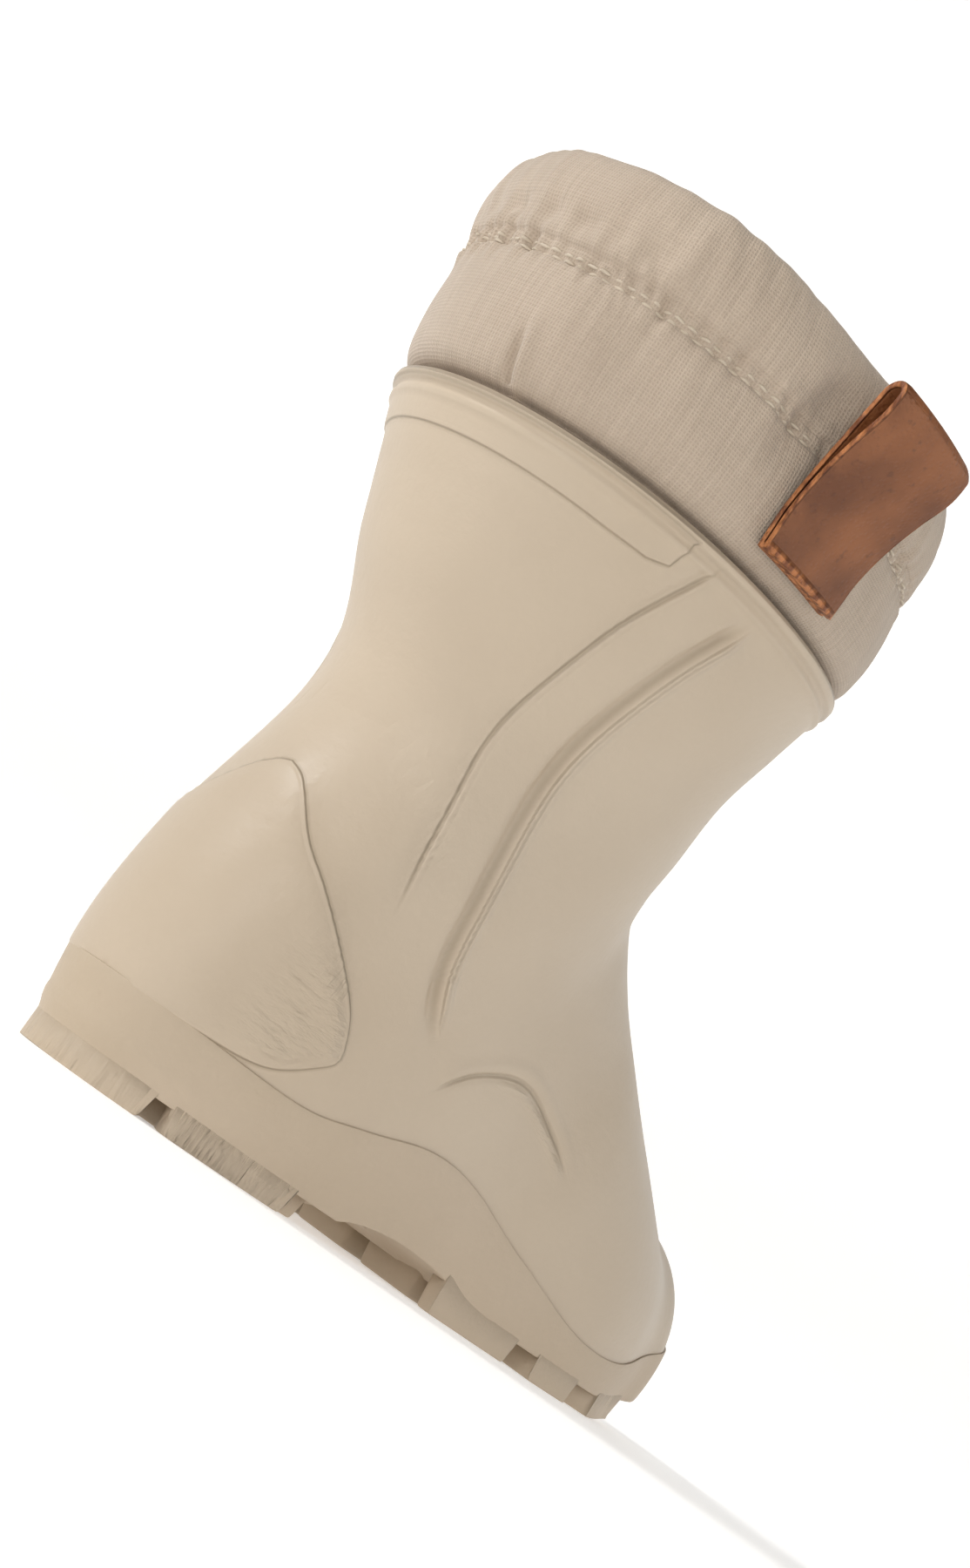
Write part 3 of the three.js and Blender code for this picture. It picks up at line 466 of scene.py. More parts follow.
# Lines of the mould in the side view: y as a share of half the sole, z as a share of the rim's height
# A ridge climbs over its step and falls off behind: crest has heights and how fast each falls,
# and ahead of it lies a groove with its depth, place and width. It fades out along its line from fadeFrom on
ridges = {
    "frontRidge": {
        "line": [(0.56, 0.96), (0.605, 0.84), (0.61, 0.71), (0.61, 0.59), (0.6, 0.46), (0.57, 0.38),
                 (0.51, 0.32), (0.47, 0.295)],
        "fadeFrom": 0.76, "crest": [(0.7, 7), (0.6, 2.4)], "step": (-1.6, 0.9), "groove": (1.4, -2.4, 1.5)},
    "backRidge": {
        "line": [(0.72, 0.99), (0.77, 0.84), (0.76, 0.7), (0.75, 0.57), (0.755, 0.46), (0.75, 0.38)],
        "fadeFrom": 0.78, "crest": [(0.8, 6)], "step": (-1.1, 1.1), "groove": (0.5, -0.8, 1.2)},
}
vampGroove = [(0.42, 0.235), (0.31, 0.295), (0.15, 0.325), (-0.02, 0.29), (-0.1, 0.25)]
backBand = [(0.8, 0.985), (0.8, 0.94), (0.84, 0.93), (0.92, 0.928), (1.3, 0.934), (1.3, 0.985)]
# The counter, unrolled round the heel: the way round from the back as a share of half its width, and height
counterOutline = [(0.0, 0.478), (0.14, 0.468), (0.27, 0.446), (0.48, 0.4), (0.69, 0.365), (0.97, 0.312),
                  (1.25, 0.259), (1.37, 0.222), (1.4, 0.2), (1.33, 0.182), (1.0, 0.14), (0.5, 0.128),
                  (0.0, 0.125)]


def lineField(q, g, points, closed=False):
    # signed distance along the skin from a line, and how far along the line, from 0 to 1
    # q is the point and g the normal's part in that view, which says how much the skin slants away
    a = np.asarray(points, float)
    b = np.roll(a, -1, 0) if closed else a[1:]
    best, sign, run = np.full(q.shape[:-1], 1e9), np.ones(q.shape[:-1]), np.zeros(q.shape[:-1])
    slope, inside = np.ones(q.shape[:-1]), np.zeros(q.shape[:-1], bool)
    for k, (start, end) in enumerate(zip(a, b)):
        d = end - start
        w = q - start
        t = np.clip((w @ d) / (d @ d), 0, 1)
        near = w - t[..., None] * d
        far = np.linalg.norm(near, axis=-1)
        closer = far < best
        cross = d[0] * w[..., 1] - d[1] * w[..., 0]
        facing = (near * g).sum(-1) / np.maximum(far, 1e-6)
        best = np.where(closer, far, best)
        sign = np.where(closer, -np.sign(cross), sign)
        run = np.where(closer, (k + t) / len(b), run)
        slope = np.where(closer, np.sqrt(np.maximum(1 - facing ** 2, 0.04)), slope)
        spans = (start[1] > q[..., 1]) != (end[1] > q[..., 1])
        inside ^= spans & (q[..., 0] < start[0] + d[0] * (q[..., 1] - start[1]) / (d[1] if d[1] else 1e-9))
    if closed:
        sign = np.where(inside, 1, -1)
    return best * sign / slope, run


def smoothLine(points, count=60):
    # a curve through the points, as so many short straight steps
    return catmull(points, np.linspace(0, len(points) - 1, count))


def sideLine(points):
    # the same, from shares of the boot's side view
    return smoothLine(np.array(points) * [half, boot["rimHeight"]])


def edgeTurns(s, sign, drop):
    # how far round each section the parting line lies: 0 if all of it is below, pi if all of it is above
    turns = np.linspace(0, math.pi, 500)
    p = skin(s[:, None], sign * turns[None])
    above = p[..., 2] - partHeight(p[..., 1]) + drop
    below = above < 0
    k = np.clip(np.argmax(below, axis=1), 1, None)
    r = np.arange(len(s))
    part = above[r, k - 1] / (above[r, k - 1] - above[r, k])
    turn = turns[k - 1] + np.clip(part, 0, 1) * turns[1]
    return np.where(~below.any(1), math.pi, np.where(below[:, 0], 0, turn))


def columnTurns(edge, u):
    # columns are shared out evenly over a low section, and keep their places as a high one closes at the heel
    power = (0.01 + 4 * smooth(1.8, 2.9, edge))[:, None]
    full = math.pi * np.maximum(np.abs(u), 1e-6)
    turn = (full ** -power + edge[:, None] ** -power - math.pi ** -power) ** (-1 / power)
    return np.sign(u) * turn


def upperRows(low, high, count, drop, weight=None):
    # rows spaced evenly by the distance from one section to the next, closer where the lower edge moves fast
    s = mix(low, high, 0.5 - 0.5 * np.cos(np.linspace(0, math.pi, 1600)))
    u = np.linspace(-1, 1, 41)
    turn = np.where(u < 0, columnTurns(edgeTurns(s, -1, drop), u), columnTurns(edgeTurns(s, 1, drop), u))
    p = skin(s[:, None], turn)
    distance = np.linalg.norm(np.diff(p, axis=0), axis=-1)
    step = 0.6 * distance.mean(1) + 0.4 * distance.max(1)
    if weight is not None:
        step = step * weight(p[1:, 20, 2])
    total = np.concatenate([[0], np.cumsum(step)])
    return np.interp(np.linspace(0, total[-1], count + 1), total, s)


def relief(p, n):
    # height of the mould's lines and panels over the plain skin, and the fields that the material reads
    rimHeight, side, sideNormal = boot["rimHeight"], p[..., 1:], n[..., 1:]
    high, fields = 0, {}
    for name, ridge in ridges.items():
        distance, run = lineField(side, sideNormal, sideLine(ridge["line"]))
        fade = smooth(0, 0.06, run) * smooth(1, ridge["fadeFrom"], run)
        crest = sum(height * np.exp(-np.maximum(distance, 0) / fall) for height, fall in ridge["crest"])
        depth, place, width = ridge["groove"]
        high = high + fade * (crest * smooth(*ridge["step"], distance) - depth * hill(distance, place, width))
        fields[name] = (distance, fade)
    groove, run = lineField(side, sideNormal, sideLine(vampGroove))
    fade = smooth(0, 0.15, run) * smooth(1, 0.7, run)
    high = high - upper["grooveDepth"] * fade * hill(groove, 0, 0.9)
    high = high + upper["grooveLip"] * fade * hill(groove, 2, 1.8)
    fields["groove"] = (groove, fade)
    # round the heel's middle, the place is an angle times half the heel's width
    heelHalf, heelMiddle = boot["heelWidth"] / 2, 0.61 * half
    girth = np.abs(np.arctan2(p[..., 0], p[..., 1] - heelMiddle)) * heelHalf
    outline = smoothLine(np.array(counterOutline) * [heelHalf, rimHeight], 90)
    mirrored = np.concatenate([outline, outline[-2:0:-1] * [-1, 1]])
    wrapped, wrappedNormal = np.stack([girth, p[..., 2]], -1), np.stack([0 * girth, n[..., 2]], -1)
    counter, _ = lineField(wrapped, wrappedNormal, mirrored, True)
    band, _ = lineField(side, sideNormal, np.array(backBand) * [half, rimHeight], True)
    high = high + upper["counterRise"] * smooth(-1.1, 1.1, counter)
    high = high + upper["bandRise"] * smooth(-0.8, 0.8, band)
    fields["counter"] = (counter, smooth(10, 3, np.abs(counter)))
    fields["band"] = (band, smooth(10, 3, np.abs(band)))
    # leathery grain low on the counter, and along the vamp's groove
    z = p[..., 2]
    onCounter = smooth(1, 3, counter) * smooth(0.34 * rimHeight, 0.26 * rimHeight, z)
    onVamp = 0.8 * hill(groove, -2.2, 1.2) * smooth(0.3, 0.45, run) * smooth(0.98, 0.85, run)
    fields["grained"] = onCounter * smooth(0.92 * half, 0.78 * half, p[..., 1]) + onVamp
    # the rim: a raised band with a second, thinner bead below it
    lip = rimHeight - upper["lipHeight"]
    rim = upper["rimStep"] * smooth(lip - 2.2, lip - 1.5, z) + upper["rimBead"] * hill(z, lip - 4, 0.8)
    return high * smooth(lip - 2.5, lip - 6, z) + rim, fields


def makeUpper():
    drop, every, lipFoot = upper["tuck"], upper["every"], boot["rimHeight"] - upper["lipHeight"]
    # sections where the front and the back come out of the sole, and where the lip begins
    s = np.linspace(0.02, rimRow, 4000)
    front, back = skin(s, 0 * s), skin(s, 0 * s + math.pi)
    first = s[np.argmax(front[:, 2] - partHeight(front[:, 1]) + drop > 0)]
    closes = s[np.argmax(back[:, 2] - partHeight(back[:, 1]) + drop > 0)]
    last = np.interp(lipFoot, front[-900:, 2], s[-900:])
    footRows = upperRows(first, closes, upper["footRows"], drop)
    # the shaft's rows stand closer below the rim
    shaftRows = upperRows(closes, last, upper["shaftRows"], drop, lambda z: 1 + 3.5 * smooth(142, 145, z))
    s = np.concatenate([footRows, shaftRows[1:]])
    medial, lateral = edgeTurns(s, 1, drop), edgeTurns(s, -1, drop)
    atHeel = len(footRows) - 1
    medial[atHeel:], lateral[atHeel:] = math.pi, math.pi
    # columns stand closer along the sides, where the lines are
    share = np.linspace(0, 1, 400)
    w = spread(1 + 2.4 * smooth(0.36, 0.44, share) * smooth(0.74, 0.66, share), upper["columns"] // 2)
    u = np.concatenate([-w[::-1], w[1:]])
    turn = np.where(u < 0, columnTurns(lateral, u), columnTurns(medial, u))
    p, n = skin(s[:, None], turn), skinNormal(s[:, None], turn)
    high, fields = relief(p, n)
    outer = p + n * high[..., None]
    # the lip: half an ellipse from the outer face to the inner one
    level = unit(n[-1] * [1, 1, 0])
    phi = np.linspace(0, math.pi, upper["lipRows"] + 2)[1:-1, None, None]
    middle, reach = (upper["rimStep"] - boot["wall"]) / 2, (upper["rimStep"] + boot["wall"]) / 2
    up = np.array([0, 0, 1]) * upper["lipHeight"]
    lip = p[-1] + level * (middle + reach * np.cos(phi)) + up * np.sin(phi)
    # the inner face, coarser: every few rows, from the rim down
    pick = np.arange(len(s) - 1, -1, -every)
    inner = p[pick] - np.where(pick[:, None, None] == len(s) - 1, level, n[pick]) * boot["wall"]
    columns = p.shape[1]
    down = np.concatenate([outer, lip, inner])
    points = down.reshape(-1, 3)
    faces = gridFaces(len(down), columns).tolist()
    # bottom edge: the inner face's coarse edge is fanned to the outer face's fine one
    innerStart, halfFan = (len(outer) + len(lip)) * columns, every // 2
    rowOf = {int(r): innerStart + k * columns for k, r in enumerate(pick)}
    for edge in (0, columns - 1):
        for r in range(0, atHeel, every):
            a, b = rowOf[r] + edge, rowOf[r + every] + edge
            fan = [(r + k) * columns + edge for k in range(every + 1)]
            faces += [(fan[k], fan[k + 1], a if k < halfFan else b) for k in range(every)]
            faces.append((fan[halfFan], b, a))
    # the toe's tip: the first row of the outer face is joined to the inner one's
    tip = rowOf[0]
    faces += [(k, k + 1, tip + k + 1, tip + k) for k in range(columns - 1)]
    # the lip and the inner face have none of the lines
    for key, values in fields.items():
        flat = np.stack([v.ravel() for v in values], -1) if isinstance(values, tuple) else values.ravel()
        fields[key] = np.concatenate([flat, np.zeros((len(points) - len(flat), *flat.shape[1:]))])
    makePiece("upper", points, faces, shellFoam, ["shell"], attributes=fields)


makeUpper()
print("upper made")


# Sole unit

sole = {"columns": 420, "sideRows": 9, "lipRound": 0.35, "lipRise": 0.3, "edgeRound": 0.5, "capRings": 34,
        "bedRings": 8, "heelBead": 9.5, "padDraft": 0.9, "padRound": 0.55, "bite": 2.5, "wallProud": 0.2,
        "dimple": [(1.3, 0), (0.9, 0.2), (0.5, 0.32), (0.0, 0.35)], "panelRise": 1.5, "windows": 4,
        "windowDepth": 3, "hatchRise": 0.45, "hatchLines": 5}

# Pads of the tread: centre and size as shares of half the ball's width and half the sole, and turn in degrees
pads = [(0.64, -0.15, 0.19, 0.2, 22), (0.8, -0.415, 0.27, 0.17, 13), (0.73, -0.645, 0.26, 0.15, -14),
        (0.21, -0.155, 0.39, 0.125, 8), (-0.4, -0.09, 0.41, 0.125, 9), (-0.06, -0.262, 1.04, 0.072, 10),
        (0.46, -0.405, 0.24, 0.075, 10), (-0.06, -0.362, 0.46, 0.075, 10), (-0.54, -0.325, 0.22, 0.072, 10),
        (-0.04, -0.458, 0.82, 0.062, 10), (-0.07, -0.548, 0.26, 0.052, 10), (-0.88, -0.08, 0.21, 0.25, 8),
        (-0.89, -0.385, 0.25, 0.165, -2), (-0.76, -0.64, 0.25, 0.14, 34), (-0.03, 0.56, 0.42, 0.07, 0),
        (-0.08, 0.47, 0.32, 0.075, 0), (0.49, 0.545, 0.25, 0.08, 8), (0.32, 0.42, 0.22, 0.075, -28),
        (-0.57, 0.605, 0.33, 0.085, 4), (-0.45, 0.46, 0.22, 0.075, 0)]


def levelRing(level, angles, grow=0.0, offset=0.0):
    # the skin's outline at a height that may change along the boot: its radius at each angle about the middle
    s = np.linspace(0.03, rimRow - 2, 1000)
    turns = np.linspace(0, 2 * math.pi, 721)
    p = skin(s[:, None], turns[None])
    if offset:
        p = p + skinNormal(s[:, None], turns[None]) * offset
    f = p[..., 2] - level(p[..., 1])
    i, j = np.nonzero((f[:, 1:] > 0) != (f[:, :-1] > 0))
    t = (f[i, j] / (f[i, j] - f[i, j + 1]))[:, None]
    acrossCuts = mix(p[i, j], p[i, j + 1], t)
    i, j = np.nonzero((f[1:] > 0) != (f[:-1] > 0))
    t = (f[i, j] / (f[i, j] - f[i + 1, j]))[:, None]
    cuts = np.concatenate([acrossCuts, mix(p[i, j], p[i + 1, j], t)])
    angle, radius = np.arctan2(cuts[:, 1], cuts[:, 0]), np.hypot(cuts[:, 0], cuts[:, 1])
    order = np.argsort(angle)
    return np.interp(angles, angle[order], radius[order], period=2 * math.pi) + grow


def ringAngles(count):
    # angles about the middle that are evenly spaced along the sole's outline
    fine = np.linspace(-math.pi, math.pi, 2001)
    r = levelRing(partHeight, fine)
    x, y = r * np.cos(fine), r * np.sin(fine)
    total = np.concatenate([[0], np.cumsum(np.hypot(np.diff(x), np.diff(y)))])
    return np.interp(np.linspace(0, total[-1], count + 1)[:-1], total, fine)


# the angles at which every ring of the sole and the insole has its points
theta = ringAngles(sole["columns"])


def ringPoints(radius, height):
    # a ring about the middle: a radius for each angle, and a height that depends on the place along the boot
    x, y = radius * np.cos(theta), radius * np.sin(theta)
    return np.stack([x, y, height(y)], -1)


def soleRings():
    # rings of the closed body: from the bed's middle out, over the lip, down the side, and in under the pads
    step, r, e = boot["sideStep"], sole["lipRound"], sole["edgeRound"]
    part = levelRing(partHeight, theta, step)
    bed = part - step - boot["wall"]
    lipFoot = lambda y: partHeight(y) + sole["lipRise"] - r
    rings = [ringPoints(bed * k, lambda y: bedHeight(y) - 0.1)
             for k in np.linspace(0, 1, sole["bedRings"] + 1)]
    rings.append(ringPoints(bed + 0.2, lambda y: partHeight(y) - 1.6))
    for phi in np.linspace(math.pi / 2, 0, 4):
        rings.append(ringPoints(part - r + r * math.cos(phi), lambda y: lipFoot(y) + r * math.sin(phi)))
    for k in np.linspace(0, 1, sole["sideRows"] + 1)[1:]:
        level = lambda y: mix(lipFoot(y), treadFloor(y) + e, k)
        ring = ringPoints(levelRing(level, theta, step), level)
        heel = smooth(30, 60, ring[:, 1]) * hill(ring[:, 2], sole["heelBead"], 1.2)
        ring[:, :2] *= 1 + 0.5 * heel[:, None] / np.linalg.norm(ring[:, :2], axis=1)[:, None]
        rings.append(ring)
    base = np.hypot(rings[-1][:, 0], rings[-1][:, 1])
    for phi in np.linspace(0, math.pi / 2, 4)[1:]:
        low = lambda y: treadFloor(y) + e * (1 - math.sin(phi))
        rings.append(ringPoints(base - e * (1 - math.cos(phi)), low))
    for k in np.linspace(1, 0, sole["capRings"] + 1)[1:]:
        rings.append(ringPoints((base - e) * k, treadFloor))
    return np.array(rings), base


def blockRing(across, up, corner, sides=(10, 4)):
    # a rectangle with round corners, walked round: each side and each corner has its own share of the points
    corners, quarter, walk = ((1, 1), (-1, 1), (-1, -1), (1, -1)), np.linspace(0, math.pi / 2, 5), []
    for k in range(4):
        turn = quarter + k * math.pi / 2
        arc = np.column_stack([np.tile(corners[k], (len(quarter), 1)), np.cos(turn), np.sin(turn)])
        along = np.linspace(0, 1, sides[k % 2] + 1)[1:-1, None]
        walk += [arc, mix(arc[-1], np.append(corners[(k + 1) % 4], arc[-1, 2:]), along)]
    walk = np.concatenate(walk)
    corner = min(corner, across, up)
    u, v = (walk[:, :2] * [across - corner, up - corner] + walk[:, 2:] * corner).T
    return u, v


def blockLevels(across, up, draft, edge, dimple):
    # each ring's half sizes, corner, share of the way from the root to the face, and depth under it
    rings = [(across + draft, up + draft, 1.6, 0.0, 0.0),
             (across + 0.15 * draft, up + 0.15 * draft, 1.3, 0.85, 0.0)]
    for phi in np.linspace(0, math.pi / 2, 4):
        pull = edge * (1 - math.cos(phi))
        rings.append((across - pull, up - pull, 1.2, 1.0, -edge * (1 - math.sin(phi))))
    if dimple:
        rings.append((mix(across, 1.4, 0.6), mix(up, 1.4, 0.6), 1.4, 1.0, 0.0))
        return rings + [(size, size, size, 1.0, -depth) for size, depth in sole["dimple"]]
    # the face closes to a line along its longer way
    narrow = min(across, up)
    return rings + [(across - k * narrow, up - k * narrow, 1.0 - k, 1.0, 0.0) for k in (0.6, 1.0)]


def block(across, up, place, face=ground, edge=sole["padRound"], draft=sole["padDraft"], sides=(10, 4),
          dimple=True):
    # a pad: rings of a rounded rectangle, taken to the sole's plan by place, and kept inside its outline
    rings = []
    for a, b, corner, share, sink in blockLevels(across, up, draft, edge, dimple):
        x, y = place(*blockRing(max(a, 0), max(b, 0), corner, sides))
        angle, radius = np.arctan2(y, x), np.hypot(x, y)
        limit = np.interp(angle, theta, soleBase, period=2 * math.pi) + sole["wallProud"]
        keep = np.minimum(radius, limit) / np.maximum(radius, 1e-6)
        # the fourth number says how much of the outer wall's grain a point has
        wall = smooth(0.02, -0.3, limit - radius) * (share > 0.1)
        x, y = x * keep, y * keep
        z = mix(treadFloor(y) + sole["bite"], face(y), share) - sink
        rings.append(np.stack([x, y, z, wall], -1))
    return np.array(rings)


def straightPlace(x, y, turn):
    # turned about the pad's middle, which is at x and y
    c, s = math.cos(math.radians(turn)), math.sin(math.radians(turn))
    return lambda u, v: (x + u * c + v * s, y - u * s + v * c)


def arcPlace(cx, cy, radius, middle):
    # along the arc and across it, both in millimetres at the middle radius
    turn = math.radians(middle)
    return lambda u, v: (cx + (radius + v) * np.cos(turn + u / radius),
                         cy + (radius + v) * np.sin(turn + u / radius))


def arcBlock(cx, cy, inner, outer, span, **settings):
    radius, reach = (inner + outer) / 2, math.radians(span[1] - span[0]) / 2
    place = arcPlace(cx, cy, radius, (span[0] + span[1]) / 2)
    return block(radius * reach, (outer - inner) / 2, place, sides=(46, 3), dimple=False, **settings)


# Arcs: inner and outer radius as shares of the heel's or the ball's, and where each begins and ends (degrees)
heelArcs = [(0.88, 1.12, (-2, 122)), (0.66, 0.76, (-2, 122)), (0.47, 0.56, (-2, 122))]
toeArcs = [(0.82 + k * 0.135, 0.885 + k * 0.135, (-139, -41)) for k in range(4)]
# The heel's outer segment: a rim and two ends, with bars between its windows
segmentArcs = [(0.42, 0.985, (136, 140.5), 0.3), (0.42, 1.12, (170, 183), 0.3),
               (0.94, 1.12, (136, 183), 0.55)]


def treadBlocks():
    ball = boot["ballWidth"] / 2
    found = [block(wide * ball / 2, long * half / 2, straightPlace(x * ball, y * half, turn))
             for x, y, wide, long, turn in pads]
    # heel: rings round a D-shaped pad
    x, y, size = -0.07 * ball, 0.68 * half, boot["heelWidth"] / 2 * 0.88
    found += [arcBlock(x, y, inner * size, outer * size, span) for inner, outer, span in heelArcs]
    found.append(arcBlock(x, y - 0.02 * half, 0.02 * size, 0.32 * size, (-20, 200)))
    for inner in np.linspace(0.42, 0.94, sole["windows"] + 1) * size:
        found.append(arcBlock(x, y, inner, inner + 0.05 * size, (140, 171), edge=0.25, draft=0.2))
    for inner, outer, span, edge in segmentArcs:
        found.append(arcBlock(x, y, inner * size, outer * size, span, edge=edge))
    floorOfWindows = lambda y: ground(y) + sole["windowDepth"]
    found.append(arcBlock(x, y, 0.44 * size, 1.1 * size, (137, 182), face=floorOfWindows))
    # toe: arcs that repeat up the toe's spring, round a crescent
    y = -0.37 * half
    found += [arcBlock(0, y, inner * ball, outer * ball, span) for inner, outer, span in toeArcs]
    found.append(arcBlock(-0.02 * ball, y, 0.62 * ball, 0.73 * ball, (-172, -25)))
    # waist: thin raised lines that cross on both sides of the panel
    raised = lambda y: treadFloor(y) - sole["hatchRise"]
    for side, start, step in ((1, 0.2, 0.08), (-1, -0.34, -0.055)):
        for k in range(sole["hatchLines"]):
            for turn in (31, -31):
                place = straightPlace((start + step * k) * ball, (0.2 + 0.012 * k) * half, 90 + side * turn)
                found.append(block(7.5, 0.3, place, raised, 0.12, 0.15, (3, 1), False))
    return found


def panelRings():
    # the waist's raised tongue: its outline is smoothed, and drawn in towards its middle level by level
    outline = np.array([(0.11, 0.4), (-0.56, 0.41), (-0.36, 0.1), (-0.3, 0.07), (-0.2, 0.07), (-0.14, 0.1)])
    outline = outline * [boot["ballWidth"] / 2, half]
    for _ in range(3):
        ahead = np.roll(outline, -1, 0)
        outline = np.stack([mix(outline, ahead, 0.2), mix(outline, ahead, 0.8)], 1).reshape(-1, 2)
    middle = outline.mean(0)
    away = unit(outline - middle)
    rings = []
    for pull, depth in ((-0.6, -2.5), (-0.1, 1.1), (0, 1.3), (0.15, 1.45), (0.35, 1.5)):
        xy = outline - away * pull
        rings.append(np.column_stack([xy, treadFloor(xy[:, 1]) - depth, 0 * xy[:, 0]]))
    for k in (0.75, 0.5, 0.25, 0.0):
        xy = mix(middle, outline - away * 0.35, k)
        rings.append(np.column_stack([xy, treadFloor(xy[:, 1]) - sole["panelRise"], 0 * xy[:, 0]]))
    return np.array(rings)


def closedRings(rings, start):
    # quads between rings, and one flat face that closes the first ring
    faces = gridFaces(len(rings), rings.shape[1], True, start).tolist()
    return faces + [list(range(start, start + rings.shape[1]))]


bodyRings, soleBase = soleRings()


def makeSole():
    points, rough = [bodyRings.reshape(-1, 3)], [np.zeros(bodyRings.size // 3)]
    faces, count = gridFaces(len(bodyRings), sole["columns"], True).tolist(), len(points[0])
    for rings in treadBlocks() + [panelRings()]:
        faces += closedRings(rings, count)
        flat = rings.reshape(-1, 4)
        points.append(flat[:, :3])
        # a light grain on all faces of the tread, and a strong one on the heel's outer wall
        rough.append(flat[:, 3] * smooth(20, 45, flat[:, 1]) * 0.75 + 0.12)
        count += len(flat)
    makePiece("sole", np.concatenate(points), faces, soleFoam, ["outsole"], weld=0.0005,
              attributes={"rough": np.concatenate(rough)})


makeSole()
print("sole made")


# Insole: a felt slab on the bed

# profile of its edge: height as a share of its thickness, and how far it is pulled in
insole = {"thickness": 4, "clearance": 0.6, "underRings": 8, "overRings": 12,
          "edge": [(0.0, 0.6), (0.1, 0.15), (0.25, 0.0), (0.75, 0.0), (0.9, 0.2), (0.98, 0.7), (1.0, 1.4)]}


def makeInsole():
    # rings from the middle of the underside out, up the edge, and in over the top
    inset, thick, rings = -boot["wall"] - insole["clearance"], insole["thickness"], []
    low, top = lambda y: bedHeight(y) + gap, lambda y: bedHeight(y) + gap + thick
    for share, pull in insole["edge"]:
        level = lambda y: low(y) + share * thick
        rings.append(ringPoints(levelRing(level, theta, -pull, inset), level))
    lowRadius, topRadius = [np.hypot(rings[k][:, 0], rings[k][:, 1]) for k in (0, -1)]
    under = [ringPoints(lowRadius * k, low) for k in np.linspace(0, 1, insole["underRings"] + 1)[:-1]]
    over = [ringPoints(topRadius * k, top) for k in np.linspace(1, 0, insole["overRings"] + 1)[1:]]
    grid = np.array(under + rings + over)
    makePiece("insole_felt", grid, gridFaces(len(grid), len(theta), True), felt, ["insole"])


makeInsole()
print("insole made")


# Cuff

cuff = {"columns": 480, "rows": 150, "seam": (0.535, 0.6), "gathers": 1.35, "puckers": 0.85, "girth": 372,
        "stitch": 2.6, "stitchGap": 0.7, "threadRadius": 0.34, "backSeam": 188, "tabFold": 247, "seed": 7}

# columns: height as a share of the cuff's, and distance out as a share of its thickness
tuckOut = -(boot["wall"] + gap) / boot["cuffThickness"]
cuffProfile = [(0, tuckOut), (0.025, -0.2), (0.1, 0.22), (0.28, 0.42), (0.48, 0.3), (0.565, 0.1),
               (0.66, 0.38), (0.82, 0.4), (0.95, 0.0), (1.0, -0.5), (0.95, -0.95), (0.8, -0.9),
               (0.56, -0.75), (0.3, -0.8), (0.06, -1.1)]


def collarPoint(turn, up, out):
    # a point above the rim: at a share of the way from the rim to the cuff's top, moved out from the skin
    # the rim is the skin's last section, and the top is a tilted superellipse
    b, x, y, power = boot, np.sin(turn), -np.cos(turn), 2 / 2.1
    wide, deep = [np.sign(k) * np.abs(k) ** power / 2 for k in (x, y)]
    high = np.stack([wide * b["cuffTopWidth"] - b["cuffTopOut"] + 0 * up,
                     b["rimCentre"] + b["cuffTopBack"] + deep * b["cuffTopDepth"] + 0 * up,
                     b["rimHeight"] + b["cuffHeight"] + b["cuffTilt"] * y + 0 * up], -1)
    normal = unit(np.stack([x / b["rimWidth"] + 0 * up, y / b["rimDepth"] + 0 * up, 0 * x + 0 * up], -1))
    low = skin(np.full(np.shape(turn), float(rimRow)), turn)
    return mix(low, high, np.asarray(up)[..., None]) + normal * np.asarray(out)[..., None]


def wander(turn, number, waves, irregular=0.35):
    # folds round the collar: a sum of sines whose phase drifts, so that no two folds are alike
    random = np.random.default_rng(cuff["seed"] + number)
    drift = sum(random.uniform(0.3, 1) / k * np.sin(k * turn + random.uniform(0, 6.3)) for k in range(1, 7))
    turn, total = turn + irregular * drift / waves * 4, 0
    for share in (1.0, 1.37, 0.71):
        size, phase = random.uniform(0.5, 1), random.uniform(0, 6.3)
        total = total + size * np.sin(round(waves * share) * turn + phase)
    return total / 2


def patchy(wave, sharp=2.5):
    # 0 in some places and 1 in others
    return 0.5 + 0.5 * np.tanh(sharp * wave)


